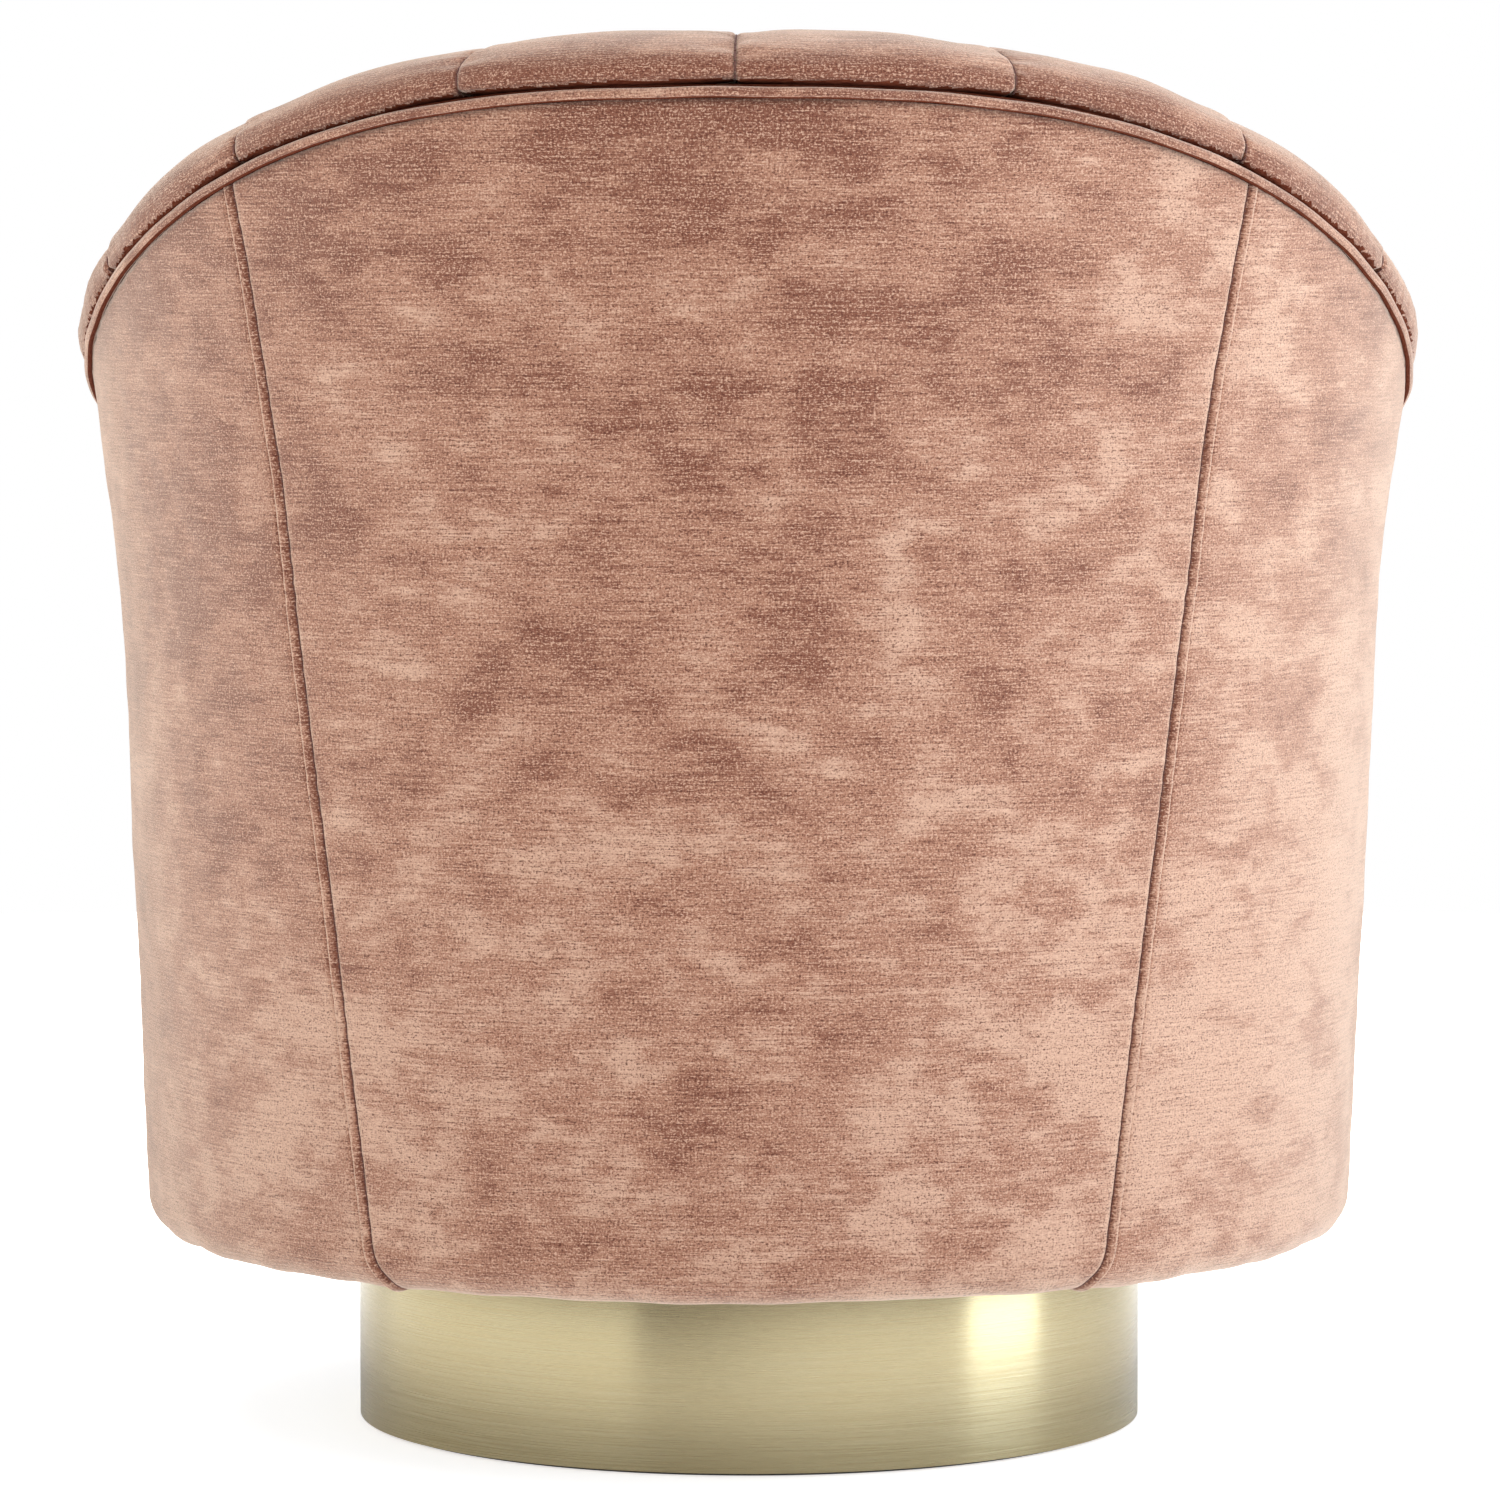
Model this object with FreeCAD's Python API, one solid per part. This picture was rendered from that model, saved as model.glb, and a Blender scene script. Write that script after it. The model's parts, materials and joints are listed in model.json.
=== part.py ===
import FreeCAD, Part
import math
import os

# Swivel glider chair: an upholstered barrel shell that glides on swing links over a round drum base.
# Millimetres. +Z up, the floor at z = 0, the origin on the swivel axis, the seat's front towards -Y.
# Angles round the shell are counted from the middle of the back (+Y), positive towards +X.

# ---- Shell: outline ----
hem_clearance = 10.0        # underside of the shell above the drum
hem_radius = 341.5          # outside of the shell at the hem
shell_lean = 0.042          # outward lean of the wall, radius per height
rim_flare = 11.0            # extra outward curve just below the rim
flare_depth = 180.0         # height over which that curve happens
hem_round = 22.0            # rounding between wall and underside
rim_back_height = 745.5     # middle of the welt at the back
rim_fall = 206.0            # how far the welt falls from the back to the arm fronts
rim_bend = 0.69             # shape of the fall: smaller starts earlier
arm_end_angle = 135.0       # where the channels stop
arm_pad_angle = 3.0         # angular thickness of the arm front pad
wall_depth = 96.0           # from the outer cover to the crest of the channels
roll_overhang = 4.0         # how far the roll stands out past the rim
roll_rise = 31.0            # crest of the roll above its underside
channel_count = 12
channel_gap = 0.7           # seam gap between two channels, at the hem's radius
wall_steps = 12             # straight facets up the wall
roll_steps = 8              # and over the roll

# ---- Shell: layers ----
cover_thickness = 4.0       # velvet with its wadding
layer_gap = 0.5             # clearance between two layers
seat_gap = 0.3              # clearance between a piece and the one that it sits on
post_depth = 25.0           # radial depth of posts, top rail and front rail
post_width_angle = 4.2
liner_thickness = 2.7
welt_radius = 3.0
welt_gap = 0.5
rail_height = 38.0
hem_turn_depth = 41.5       # how far the cover turns in under the hem
seam_low_angle = 34.5       # panel seam at the hem
seam_high_angle = 46.0      # panel seam at seam_high_height
seam_high_height = 697.0
seam_gap = 0.4
post_angles = [0.0, 33.75, 67.5, 101.25, 131.0]
front_post_angle = 20.0     # short posts either side of the front's middle
joint_gap_angle = 0.1       # butt joint between lengths of rail
rail_joint_angle = 46.0
bottom_ring_width = 45.0
bottom_ring_thickness = 18.0
dust_cover_room = 30.0      # between the turning plate, at full glide, and the dust cover
dust_cover_thickness = 1.5

# ---- Seat ----
seat_ring_room = 23.0       # above the towers
seat_ring_thickness = 18.0
seat_ring_bearing = 11.0    # ring reaching in past its bolts
spring_wire = 3.8
spring_pitch = 26.0         # distance from one loop to the next
spring_width = 46.0
spring_spread = 0.71        # outermost spring, as a share of the circle of spring ends
spring_count = 5
spring_inset = 24.0         # spring ends inside the deck's edge
clip_length = 16.0
clip_wall = 1.6
deck_cloth_thickness = 1.5
deck_depth = 37.0           # from the seat ring to the top of the front panel
front_round = 15.0
front_turn_depth = 45.0     # how far the cover turns in over the front rail
cushion_edge_height = 96.0
cushion_crown = 18.0
deck_gap = 0.8              # between the deck and the channels
cushion_gap = 3.0           # between cushion and channels
arm_gap_angle = 1.0         # between the arm fronts and what lies between them
cushion_front_overhang = 3.0
cushion_corner = 22.0

# ---- Glide mechanism ----
pivot_room = 16.0           # lower pivots above the turning plate
link_length = 120.0
glide_angle = 20.0          # swing of the links each way
link_spacing = 160.0        # front pivots to rear pivots
link_width = 26.0
link_thickness = 5.0
link_inner_face = 118.0     # from the middle plane to the link
link_side_gap = 1.0
tower_thickness = 4.0
tower_gap = 6.0             # room for rivet heads between tower and link
tower_margin = 12.0
tower_window_radius = 33.0
pivot_radius = 6.0
pivot_clearance = 0.05
bush_radius = 9.5
bush_press = 0.02
bush_proud = 0.3
rivet_head_radius = 9.0
rivet_head_height = 3.0
cradle_tube = 25.0
cradle_tube_wall = 2.0
cradle_tube_offset = 60.0
rail_plate_thickness = 4.0
rail_plate_drop = 12.0      # rail below its pivots
rail_plate_rise = 20.0      # rail above its pivots
rail_plate_end = 5.0        # rail reaching past the cross tubes
carriage_tube_room = 10.0   # between the towers, at full glide, and the cross tubes
upright_width = 30.0
upright_foot = 34.0
upright_inset = 7.0         # uprights nearer the middle than the cross tubes

# ---- Swivel ----
plate_side = 190.0
plate_thickness = 3.0
race_radius = 75.0
race_width = 14.0
race_height = 2.5
ball_radius = 4.0
ball_count = 16
ball_clearance = 0.3
race_gap = 3.0
cage_thickness = 1.6
cage_clearance = 0.3
cage_inset = 1.0            # cage narrower than the races on each side
king_radius = 10.0
king_clearance = 0.06
king_head_radius = 16.0
king_head_height = 6.0
king_washer_radius = 20.0
king_washer_thickness = 2.0
king_nut_height = 8.0
king_proud = 1.0            # bolt end standing past the nut
axial_gap = 0.3

# ---- Drum base ----
drum_radius = 223.0
drum_height = 100.0
band_thickness = 1.2
hoop_thickness = 6.0
drum_fit = 0.3
board_thickness = 18.0
felt_thickness = 2.0
felt_inset = 6.0
board_bottom_hole = 35.0
board_top_hole = 30.0
block_count = 6
block_circle = 172.0
block_depth = 40.0
block_length = 60.0
screw_radius = 2.5
screw_head_radius = 5.0
screw_head_height = 3.0
screw_length = 45.0

# ---- Bolts ----
bolt_radius = 4.0
bolt_head_radius = 7.0
bolt_head_height = 3.5
bolt_nut_height = 4.5
hole_clearance = 0.1
bolt_short = 2.0            # carriage bolts stop this far below the top of the seat ring
lower_bolt_offset = 80.0
cradle_bolt_offset = 75.0

os.makedirs("parts", exist_ok=True)

V = FreeCAD.Vector
UP = V(0, 0, 1)
SIDE = V(1, 0, 0)

# Levels and radii that follow from the values above
hem_height = drum_height + hem_clearance
hem_turn_radius = hem_radius - hem_turn_depth
channel_gap_angle = math.degrees(channel_gap / hem_radius)
board_low = felt_thickness
board_high = drum_height - board_thickness
board_radius = drum_radius - band_thickness - hoop_thickness - 2 * drum_fit
lower_plate_top = drum_height + plate_thickness
lower_race_top = lower_plate_top + race_height
ball_height = lower_race_top + race_gap / 2
upper_race_low = lower_race_top + race_gap
upper_plate_low = upper_race_low + race_height
upper_plate_top = upper_plate_low + plate_thickness
pivot_low_height = upper_plate_top + pivot_room
pivot_high_height = pivot_low_height + link_length
glide_travel = link_length * math.sin(math.radians(glide_angle))
tower_foot = link_spacing / 2 + 2 * tower_margin
carriage_tube_offset = tower_foot + glide_travel + carriage_tube_room + cradle_tube / 2
rail_plate_half_length = carriage_tube_offset + cradle_tube / 2 + rail_plate_end
upright_offset = carriage_tube_offset - upright_inset
dust_cover_inner = plate_side / math.sqrt(2) + glide_travel + dust_cover_room
seat_ring_height = pivot_high_height + tower_margin + seat_ring_room
tower_outer_face = link_inner_face - tower_gap
tower_inner_face = tower_outer_face - tower_thickness
link_outer_face = link_inner_face + link_thickness
rail_plate_face = link_outer_face + link_side_gap
rail_plate_outer = rail_plate_face + rail_plate_thickness
rail_plate_low = pivot_low_height - rail_plate_drop
seat_ring_top = seat_ring_height + seat_ring_thickness
seat_ring_inner = math.hypot(rail_plate_outer + upright_foot / 2, upright_offset) - seat_ring_bearing
front_top_height = seat_ring_top + deck_depth
frame_low = hem_height + cover_thickness + seat_gap
post_low = frame_low + bottom_ring_thickness
wood_outer = cover_thickness + 2 * layer_gap
wood_inner = wood_outer + post_depth
liner_outer = wood_inner + layer_gap
channel_back = liner_outer + liner_thickness + layer_gap
roll_low = welt_radius + welt_gap
arm_pad_end = arm_end_angle + arm_pad_angle
clip_top = seat_ring_top + spring_wire + 2 * clip_wall
deck_low = clip_top + seat_gap
cushion_low = front_top_height + seat_gap


def rim(angle):
    """Height of the welt at an angle round the shell."""
    reach = 1 - math.cos(math.radians(min(abs(angle), arm_pad_end)))
    share = reach / (1 - math.cos(math.radians(arm_pad_end)))
    return rim_back_height - rim_fall * math.sin(math.pi / 2 * share ** rim_bend) ** 2


def shell_radius(angle, height):
    """Outside radius of the cover at an angle and a height."""
    top = rim(angle)
    level = min(height, top)
    rise = max(0.0, (level - top + flare_depth) / flare_depth)
    return hem_radius + shell_lean * (level - hem_height) + rim_flare * rise ** 2


def at(angle, radius, height):
    """Point at an angle from the middle of the back."""
    turn = math.radians(angle)
    return V(radius * math.sin(turn), radius * math.cos(turn), height)


def wrap(section, start, end, step=6.0):
    """Solid that carries a closed section, given as (radius, height) corners, round the shell."""
    spans = max(2, math.ceil((end - start) / step))
    wires = []
    for index in range(spans + 1):
        angle = start + (end - start) * index / spans
        corners = [at(angle, radius, height) for radius, height in section(angle)]
        wires.append(Part.makePolygon(corners + corners[:1]))
    return Part.makeLoft(wires, True, False)


def levels(low, high):
    """Evenly spaced heights, both ends included, close enough to follow the curve of the wall."""
    return [low + (high - low) * index / wall_steps for index in range(wall_steps + 1)]


def tube_z(outer, inner, low, high):
    """Upright ring."""
    ring = Part.makeCylinder(outer, high - low, V(0, 0, low))
    return ring.cut(Part.makeCylinder(inner, high - low, V(0, 0, low)))


def rod(radius, start, end):
    """Round bar from one point to another."""
    return Part.makeCylinder(radius, (end - start).Length, start, end - start)


def block(x_low, x_high, y_low, y_high, z_low, z_high):
    """Rectangular block by its limits."""
    return Part.makeBox(x_high - x_low, y_high - y_low, z_high - z_low, V(x_low, y_low, z_low))


def hexagon(across, start, height):
    """Hexagonal nut body."""
    corners = []
    for index in range(6):
        turn = math.radians(60 * index)
        corners.append(start + V(across * math.cos(turn), across * math.sin(turn), 0))
    return Part.Face(Part.makePolygon(corners + corners[:1])).extrude(V(0, 0, height))


def drill(solid, radius, places, low, high):
    """Upright holes through a solid."""
    for x, y in places:
        solid = solid.cut(rod(radius, V(x, y, low), V(x, y, high)))
    return solid


def both(maker):
    """A right-hand (+X) solid and its mirror image."""
    solid = maker()
    return [solid, solid.mirror(V(0, 0, 0), SIDE)]


def save(name, solids):
    """Write one sub-part: a single solid or a group of separate solids."""
    shape = solids[0] if len(solids) == 1 else Part.makeCompound(solids)
    shape.exportStep(f"parts/{name}.step")


def corners_of(offset_x, offset_y):
    return [(sx * offset_x, sy * offset_y) for sx in (-1, 1) for sy in (-1, 1)]


# ---- Drum base ----
def block_places():
    places = []
    for index in range(block_count):
        turn = 2 * math.pi * index / block_count
        places.append((block_circle * math.cos(turn), block_circle * math.sin(turn)))
    return places


def drum_board(low, hole_radius):
    return tube_z(board_radius, hole_radius, low, low + board_thickness)


def spacer_blocks():
    blocks = []
    for index in range(block_count):
        half_depth = block_depth / 2
        half_length = block_length / 2
        piece = block(block_circle - half_depth, block_circle + half_depth, -half_length, half_length,
                      board_low + board_thickness, board_high)
        hole_low = rod(screw_radius + hole_clearance, V(block_circle, 0, board_low),
                       V(block_circle, 0, board_low + screw_length))
        hole_high = rod(screw_radius + hole_clearance, V(block_circle, 0, drum_height - screw_length),
                        V(block_circle, 0, drum_height))
        piece = piece.cut(hole_low).cut(hole_high)
        piece.rotate(V(0, 0, 0), UP, 360 * index / block_count)
        blocks.append(piece)
    return blocks


def board_screws():
    screws = []
    for x, y in block_places():
        for outer, way in ((board_low, 1), (drum_height, -1)):
            head = rod(screw_head_radius, V(x, y, outer), V(x, y, outer + way * screw_head_height))
            stem = rod(screw_radius, V(x, y, outer), V(x, y, outer + way * screw_length))
            screws.append(head.fuse(stem).removeSplitter())
    return screws


def drilled_board(low, hole_radius, outer, way, extra):
    """Board with the screw holes, their head recesses and the bolt holes."""
    board = drum_board(low, hole_radius)
    board = drill(board, screw_radius + hole_clearance, block_places(), low, low + board_thickness)
    recess = sorted([outer, outer + way * screw_head_height])
    board = drill(board, screw_head_radius + hole_clearance, block_places(), *recess)
    return drill(board, bolt_radius + hole_clearance, extra, low, low + board_thickness)


def make_base():
    save("base_felt_pad", [Part.makeCylinder(drum_radius - felt_inset, felt_thickness)])
    save("base_bottom_board", [drilled_board(board_low, board_bottom_hole, board_low, 1, [])])
    bolts = corners_of(lower_bolt_offset, lower_bolt_offset)
    save("base_top_board", [drilled_board(board_high, board_top_hole, drum_height, -1, bolts)])
    save("base_spacer_blocks", spacer_blocks())
    save("base_board_screws", board_screws())
    hoop_outer = drum_radius - band_thickness - drum_fit
    save("base_hoop", [tube_z(hoop_outer, hoop_outer - hoop_thickness, board_low, drum_height)])
    save("base_brass_band", [tube_z(drum_radius, drum_radius - band_thickness, board_low, drum_height)])


# ---- Swivel ----
def groove(radius):
    return Part.makeTorus(race_radius, radius, V(0, 0, ball_height), UP)


def lower_plate():
    half = plate_side / 2
    plate = block(-half, half, -half, half, drum_height, lower_plate_top)
    race = tube_z(race_radius + race_width / 2, race_radius - race_width / 2,
                  lower_plate_top, lower_race_top)
    plate = plate.fuse(race).cut(groove(ball_radius + ball_clearance))
    plate = plate.cut(rod(king_radius + king_clearance, V(0, 0, drum_height), V(0, 0, upper_plate_top)))
    places = corners_of(lower_bolt_offset, lower_bolt_offset)
    return drill(plate, bolt_radius + hole_clearance, places, drum_height, lower_plate_top)


def upper_plate():
    half = plate_side / 2
    plate = block(-half, half, -half, half, upper_plate_low, upper_plate_top)
    race = tube_z(race_radius + race_width / 2, race_radius - race_width / 2,
                  upper_race_low, upper_plate_low)
    plate = plate.fuse(race).cut(groove(ball_radius + ball_clearance))
    plate = plate.cut(rod(king_radius + king_clearance, V(0, 0, upper_race_low), V(0, 0, upper_plate_top)))
    places = corners_of(cradle_bolt_offset, cradle_tube_offset)
    return drill(plate, bolt_radius + hole_clearance, places, upper_plate_low, upper_plate_top)


def ball_places():
    places = []
    for index in range(ball_count):
        turn = 2 * math.pi * index / ball_count
        places.append((race_radius * math.cos(turn), race_radius * math.sin(turn)))
    return places


def ball_cage():
    low = ball_height - cage_thickness / 2
    half = race_width / 2 - cage_inset
    ring = tube_z(race_radius + half, race_radius - half, low, low + cage_thickness)
    return drill(ring, ball_radius + cage_clearance, ball_places(), low, low + cage_thickness)


def bolt(x, y, head_low, head_way, tip, nut_low, nut_way):
    """Bolt with its nut: the head and nut stand away from the faces that they clamp."""
    head = rod(bolt_head_radius, V(x, y, head_low), V(x, y, head_low + head_way * bolt_head_height))
    stem = rod(bolt_radius, V(x, y, head_low), V(x, y, tip))
    nut = hexagon(bolt_head_radius, V(x, y, min(nut_low, nut_low + nut_way * bolt_nut_height)),
                  bolt_nut_height)
    return head.fuse([stem, nut])


def make_swivel():
    save("swivel_lower_plate", [lower_plate()])
    bolts = []
    for x, y in corners_of(lower_bolt_offset, lower_bolt_offset):
        bolts.append(bolt(x, y, lower_plate_top, 1, board_high - bolt_nut_height, board_high, -1))
    save("swivel_plate_bolts", bolts)
    head = rod(king_head_radius, V(0, 0, drum_height - king_head_height), V(0, 0, drum_height))
    washer_low = upper_plate_top + axial_gap
    nut_low = washer_low + king_washer_thickness
    stem = rod(king_radius, V(0, 0, drum_height - king_head_height), V(0, 0, nut_low + king_nut_height))
    save("king_bolt", [head.fuse(stem).removeSplitter()])
    washer = rod(king_washer_radius, V(0, 0, washer_low), V(0, 0, nut_low))
    nut = washer.fuse(hexagon(king_head_radius, V(0, 0, nut_low), king_nut_height - king_proud))
    nut = nut.cut(rod(king_radius + pivot_clearance, V(0, 0, washer_low), V(0, 0, nut_low + king_nut_height)))
    save("king_nut", [nut])
    save("ball_cage", [ball_cage()])
    save("bearing_balls", [Part.makeSphere(ball_radius, V(x, y, ball_height)) for x, y in ball_places()])
    save("swivel_upper_plate", [upper_plate()])


# ---- Glide cradle, links and carriage ----
def square_tube(half_length, y_middle, low, places):
    half = cradle_tube / 2
    wall = cradle_tube_wall
    outer = block(-half_length, half_length, y_middle - half, y_middle + half, low, low + cradle_tube)
    inner = block(-half_length, half_length, y_middle - half + wall, y_middle + half - wall,
                  low + wall, low + cradle_tube - wall)
    return drill(outer.cut(inner), bolt_radius + hole_clearance, places, low, low + cradle_tube)


def pivot_places(height):
    return [(side * link_spacing / 2, height) for side in (-1, 1)]


def tower():
    """Side plate of the cradle: wide foot, shoulders over the two upper pivots, round window."""
    foot = tower_foot
    shoulder = link_spacing / 2 + tower_margin
    top = pivot_high_height + tower_margin
    outline = [V(tower_inner_face, -foot, upper_plate_top), V(tower_inner_face, foot, upper_plate_top),
               V(tower_inner_face, foot, upper_plate_top + cradle_tube),
               V(tower_inner_face, shoulder, top - tower_margin), V(tower_inner_face, shoulder, top),
               V(tower_inner_face, -shoulder, top), V(tower_inner_face, -shoulder, top - tower_margin),
               V(tower_inner_face, -foot, upper_plate_top + cradle_tube)]
    plate = Part.Face(Part.makePolygon(outline + outline[:1])).extrude(V(tower_thickness, 0, 0))
    middle = (upper_plate_top + pivot_high_height) / 2 + cradle_tube / 2
    plate = plate.cut(rod(tower_window_radius, V(tower_inner_face, 0, middle),
                          V(tower_outer_face, 0, middle)))
    for y, z in pivot_places(pivot_high_height):
        plate = plate.cut(rod(pivot_radius + hole_clearance, V(tower_inner_face, y, z),
                              V(tower_outer_face, y, z)))
    return plate


def link(y):
    """Swing link: round-ended bar with a bored eye at each end."""
    half = link_width / 2
    inner = link_inner_face
    outer = link_outer_face
    bar = block(inner, outer, y - half, y + half, pivot_low_height, pivot_high_height)
    for z in (pivot_low_height, pivot_high_height):
        bar = bar.fuse(rod(half, V(inner, y, z), V(outer, y, z)))
    bar = bar.removeSplitter()
    for z in (pivot_low_height, pivot_high_height):
        bar = bar.cut(rod(bush_radius, V(inner, y, z), V(outer, y, z)))
    return bar


def link_bushes(y):
    bushes = []
    for z in (pivot_low_height, pivot_high_height):
        start = V(link_inner_face - bush_proud, y, z)
        end = V(link_outer_face + bush_proud, y, z)
        bush = rod(bush_radius - bush_press, start, end)
        bushes.append(bush.cut(rod(pivot_radius + pivot_clearance, start, end)))
    return bushes


def upper_rivet(y):
    """Fixed in the tower: tail head inside, spacer collar between tower and link, head outside."""
    z = pivot_high_height
    collar_end = link_inner_face - 2 * bush_proud
    head_start = link_outer_face + 2 * bush_proud
    tail = rod(rivet_head_radius, V(tower_inner_face - rivet_head_height, y, z), V(tower_inner_face, y, z))
    stem = rod(pivot_radius, V(tower_inner_face - rivet_head_height, y, z), V(head_start, y, z))
    collar = rod(rivet_head_radius, V(tower_outer_face, y, z), V(collar_end, y, z))
    head = rod(rivet_head_radius, V(head_start, y, z), V(head_start + rivet_head_height, y, z))
    return stem.fuse([tail, collar, head]).removeSplitter()


def lower_rivet(y):
    """Fixed in the carriage rail: head inside the link, tail head outside the rail."""
    z = pivot_low_height
    head_end = link_inner_face - 2 * bush_proud
    head = rod(rivet_head_radius, V(head_end - rivet_head_height, y, z), V(head_end, y, z))
    stem = rod(pivot_radius, V(head_end - rivet_head_height, y, z), V(rail_plate_outer, y, z))
    tail = rod(rivet_head_radius, V(rail_plate_outer, y, z), V(rail_plate_outer + rivet_head_height, y, z))
    return stem.fuse([head, tail]).removeSplitter()


def carriage_rail():
    rail = block(rail_plate_face, rail_plate_outer, -rail_plate_half_length, rail_plate_half_length,
                 rail_plate_low, pivot_low_height + rail_plate_rise)
    for y, z in pivot_places(pivot_low_height):
        rail = rail.cut(rod(pivot_radius + hole_clearance, V(rail_plate_face, y, z),
                            V(rail_plate_outer, y, z)))
    return rail


def upright_hole_places():
    x = rail_plate_outer + upright_foot / 2
    return corners_of(x, upright_offset)


def upright(side):
    """Angle bar welded to the rail, with a foot turned out under the seat ring."""
    half = upright_width / 2
    y = side * upright_offset
    wall = rail_plate_thickness
    leg = block(rail_plate_outer, rail_plate_outer + wall, y - half, y + half,
                rail_plate_low, seat_ring_height)
    foot = block(rail_plate_outer, rail_plate_outer + upright_foot, y - half, y + half,
                 seat_ring_height - wall, seat_ring_height)
    bar = leg.fuse(foot).removeSplitter()
    return drill(bar, bolt_radius + hole_clearance, upright_hole_places(),
                 seat_ring_height - wall, seat_ring_height)


def carriage_bolt(x, y):
    """Bolt up through a foot into the seat ring."""
    under = seat_ring_height - rail_plate_thickness
    head = rod(bolt_head_radius, V(x, y, under - bolt_head_height), V(x, y, under))
    return head.fuse(rod(bolt_radius, V(x, y, under), V(x, y, seat_ring_top - bolt_short))).removeSplitter()


def make_glide():
    places = corners_of(cradle_bolt_offset, cradle_tube_offset)
    tubes = [square_tube(tower_inner_face, side * cradle_tube_offset, upper_plate_top, places)
             for side in (-1, 1)]
    save("cradle_cross_tubes", tubes)
    tube_top = upper_plate_top + cradle_tube
    save("cradle_bolts", [bolt(x, y, tube_top, 1, upper_plate_low - bolt_nut_height, upper_plate_low, -1)
                          for x, y in places])
    right, left = both(tower)
    save("cradle_tower_right", [right])
    save("cradle_tower_left", [left])
    rear = link_spacing / 2
    rivets = both(lambda: upper_rivet(rear)) + both(lambda: upper_rivet(-rear))
    save("upper_pivot_rivets", rivets)
    for name, y in (("rear", rear), ("front", -rear)):
        save(f"{name}_swing_links", both(lambda: link(y)))
        bushes = link_bushes(y)
        save(f"{name}_link_bushes", bushes + [bush.mirror(V(0, 0, 0), SIDE) for bush in bushes])
    save("lower_pivot_rivets", both(lambda: lower_rivet(rear)) + both(lambda: lower_rivet(-rear)))
    save("carriage_rails", both(carriage_rail))
    save("carriage_cross_tubes", [square_tube(rail_plate_face, side * carriage_tube_offset,
                                              rail_plate_low, []) for side in (-1, 1)])
    save("carriage_uprights", both(lambda: upright(1)) + both(lambda: upright(-1)))
    save("carriage_bolts", [carriage_bolt(x, y) for x, y in upright_hole_places()])


# ---- Shell frame ----
def wood_section(low, high):
    """Section of a rail whose edges follow the lean of the wall."""
    def section(angle):
        bottom = low(angle)
        top = high(angle)
        outer = [(shell_radius(angle, level) - wood_outer, level) for level in levels(bottom, top)]
        inner = [(shell_radius(angle, level) - wood_inner, level) for level in levels(top, bottom)]
        return outer + inner
    return section


def rail_underside(angle):
    return rim(angle) + roll_low - rail_height - seat_gap


def make_frame():
    ring_outer = hem_radius - hem_round - cover_thickness
    save("frame_bottom_ring", [tube_z(ring_outer, ring_outer - bottom_ring_width, frame_low, post_low)])
    half = post_width_angle / 2
    post = wood_section(lambda angle: post_low, lambda angle: rail_underside(angle) - seat_gap)
    angles = sorted({side * angle for angle in post_angles for side in (-1, 1)})
    posts = [wrap(post, angle - half, angle + half) for angle in angles]
    short = wood_section(lambda angle: post_low, lambda angle: seat_ring_height)
    for side in (-1, 1):
        middle = 180 + side * front_post_angle
        posts.append(wrap(short, middle - half, middle + half))
    save("frame_posts", posts)
    rail = wood_section(rail_underside, lambda angle: rim(angle) + roll_low - seat_gap)
    end = post_angles[-1] + half
    joint = rail_joint_angle
    save("frame_top_rail", [wrap(rail, -end, -joint - joint_gap_angle), wrap(rail, -joint, joint),
                            wrap(rail, joint + joint_gap_angle, end)])

    def front(angle):
        """The front rail's outer top edge is rounded to follow the cover."""
        low = seat_ring_height + seat_gap
        high = front_top_height - front_round
        middle = shell_radius(angle, high) - front_round
        edge = quarter(middle, high, front_round - wood_outer, 0, 90)
        inner = shell_radius(angle, low) - wood_inner
        return [(inner, low), (shell_radius(angle, low) - wood_outer, low)] + edge + [(inner, edge[-1][1])]
    save("frame_front_rail", [wrap(front, arm_pad_end + arm_gap_angle, 360 - arm_pad_end - arm_gap_angle)])
    liner_low = seat_ring_top + seat_gap

    def liner(angle):
        top = rim(angle) + roll_low - seat_gap
        outer = [(shell_radius(angle, z) - liner_outer, z) for z in levels(liner_low, top)]
        inner = [(radius - liner_thickness, z) for radius, z in reversed(outer)]
        return outer + inner
    save("inner_liner", [wrap(liner, -arm_end_angle, arm_end_angle)])


# ---- Upholstery of the shell ----
def roll_section(angle, back_offset, low):
    """Channel or arm pad: inside face, roll over the rim, and a back at back_offset from the cover."""
    base = rim(angle) + roll_low
    rim_radius = shell_radius(angle, base)
    half = (wall_depth + roll_overhang) / 2
    middle = rim_radius + roll_overhang - half
    arch = []
    for index in range(roll_steps + 1):
        turn = math.pi * index / roll_steps
        arch.append((middle + half * math.cos(turn), base + roll_rise * math.sin(turn)))
    inside = [(shell_radius(angle, z) - wall_depth, z) for z in levels(base, low)[1:]]
    back = [(shell_radius(angle, z) - back_offset, z) for z in levels(low, base)]
    return arch + inside + back


def make_channels():
    pitch = 2 * arm_end_angle / channel_count
    low = seat_ring_top + seat_gap

    def section(angle):
        return roll_section(angle, channel_back, low)
    for index in range(channel_count // 2):
        start = index * pitch + channel_gap_angle / 2
        end = (index + 1) * pitch - channel_gap_angle / 2
        save(f"channel_right_{index + 1}", [wrap(section, start, end)])
        save(f"channel_left_{index + 1}", [wrap(section, -end, -start)])


def make_arm_fronts():
    def section(angle):
        return roll_section(angle, cover_thickness + layer_gap, cushion_low)
    start = arm_end_angle + channel_gap_angle
    save("arm_front_right", [wrap(section, start, arm_pad_end)])
    save("arm_front_left", [wrap(section, -arm_pad_end, -start)])


def quarter(radius_middle, height_middle, size, start, end, count=4):
    """Points on a quarter round in the (radius, height) plane."""
    points = []
    for index in range(count + 1):
        turn = math.radians(start + (end - start) * index / count)
        points.append((radius_middle + size * math.cos(turn), height_middle + size * math.sin(turn)))
    return points


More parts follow.
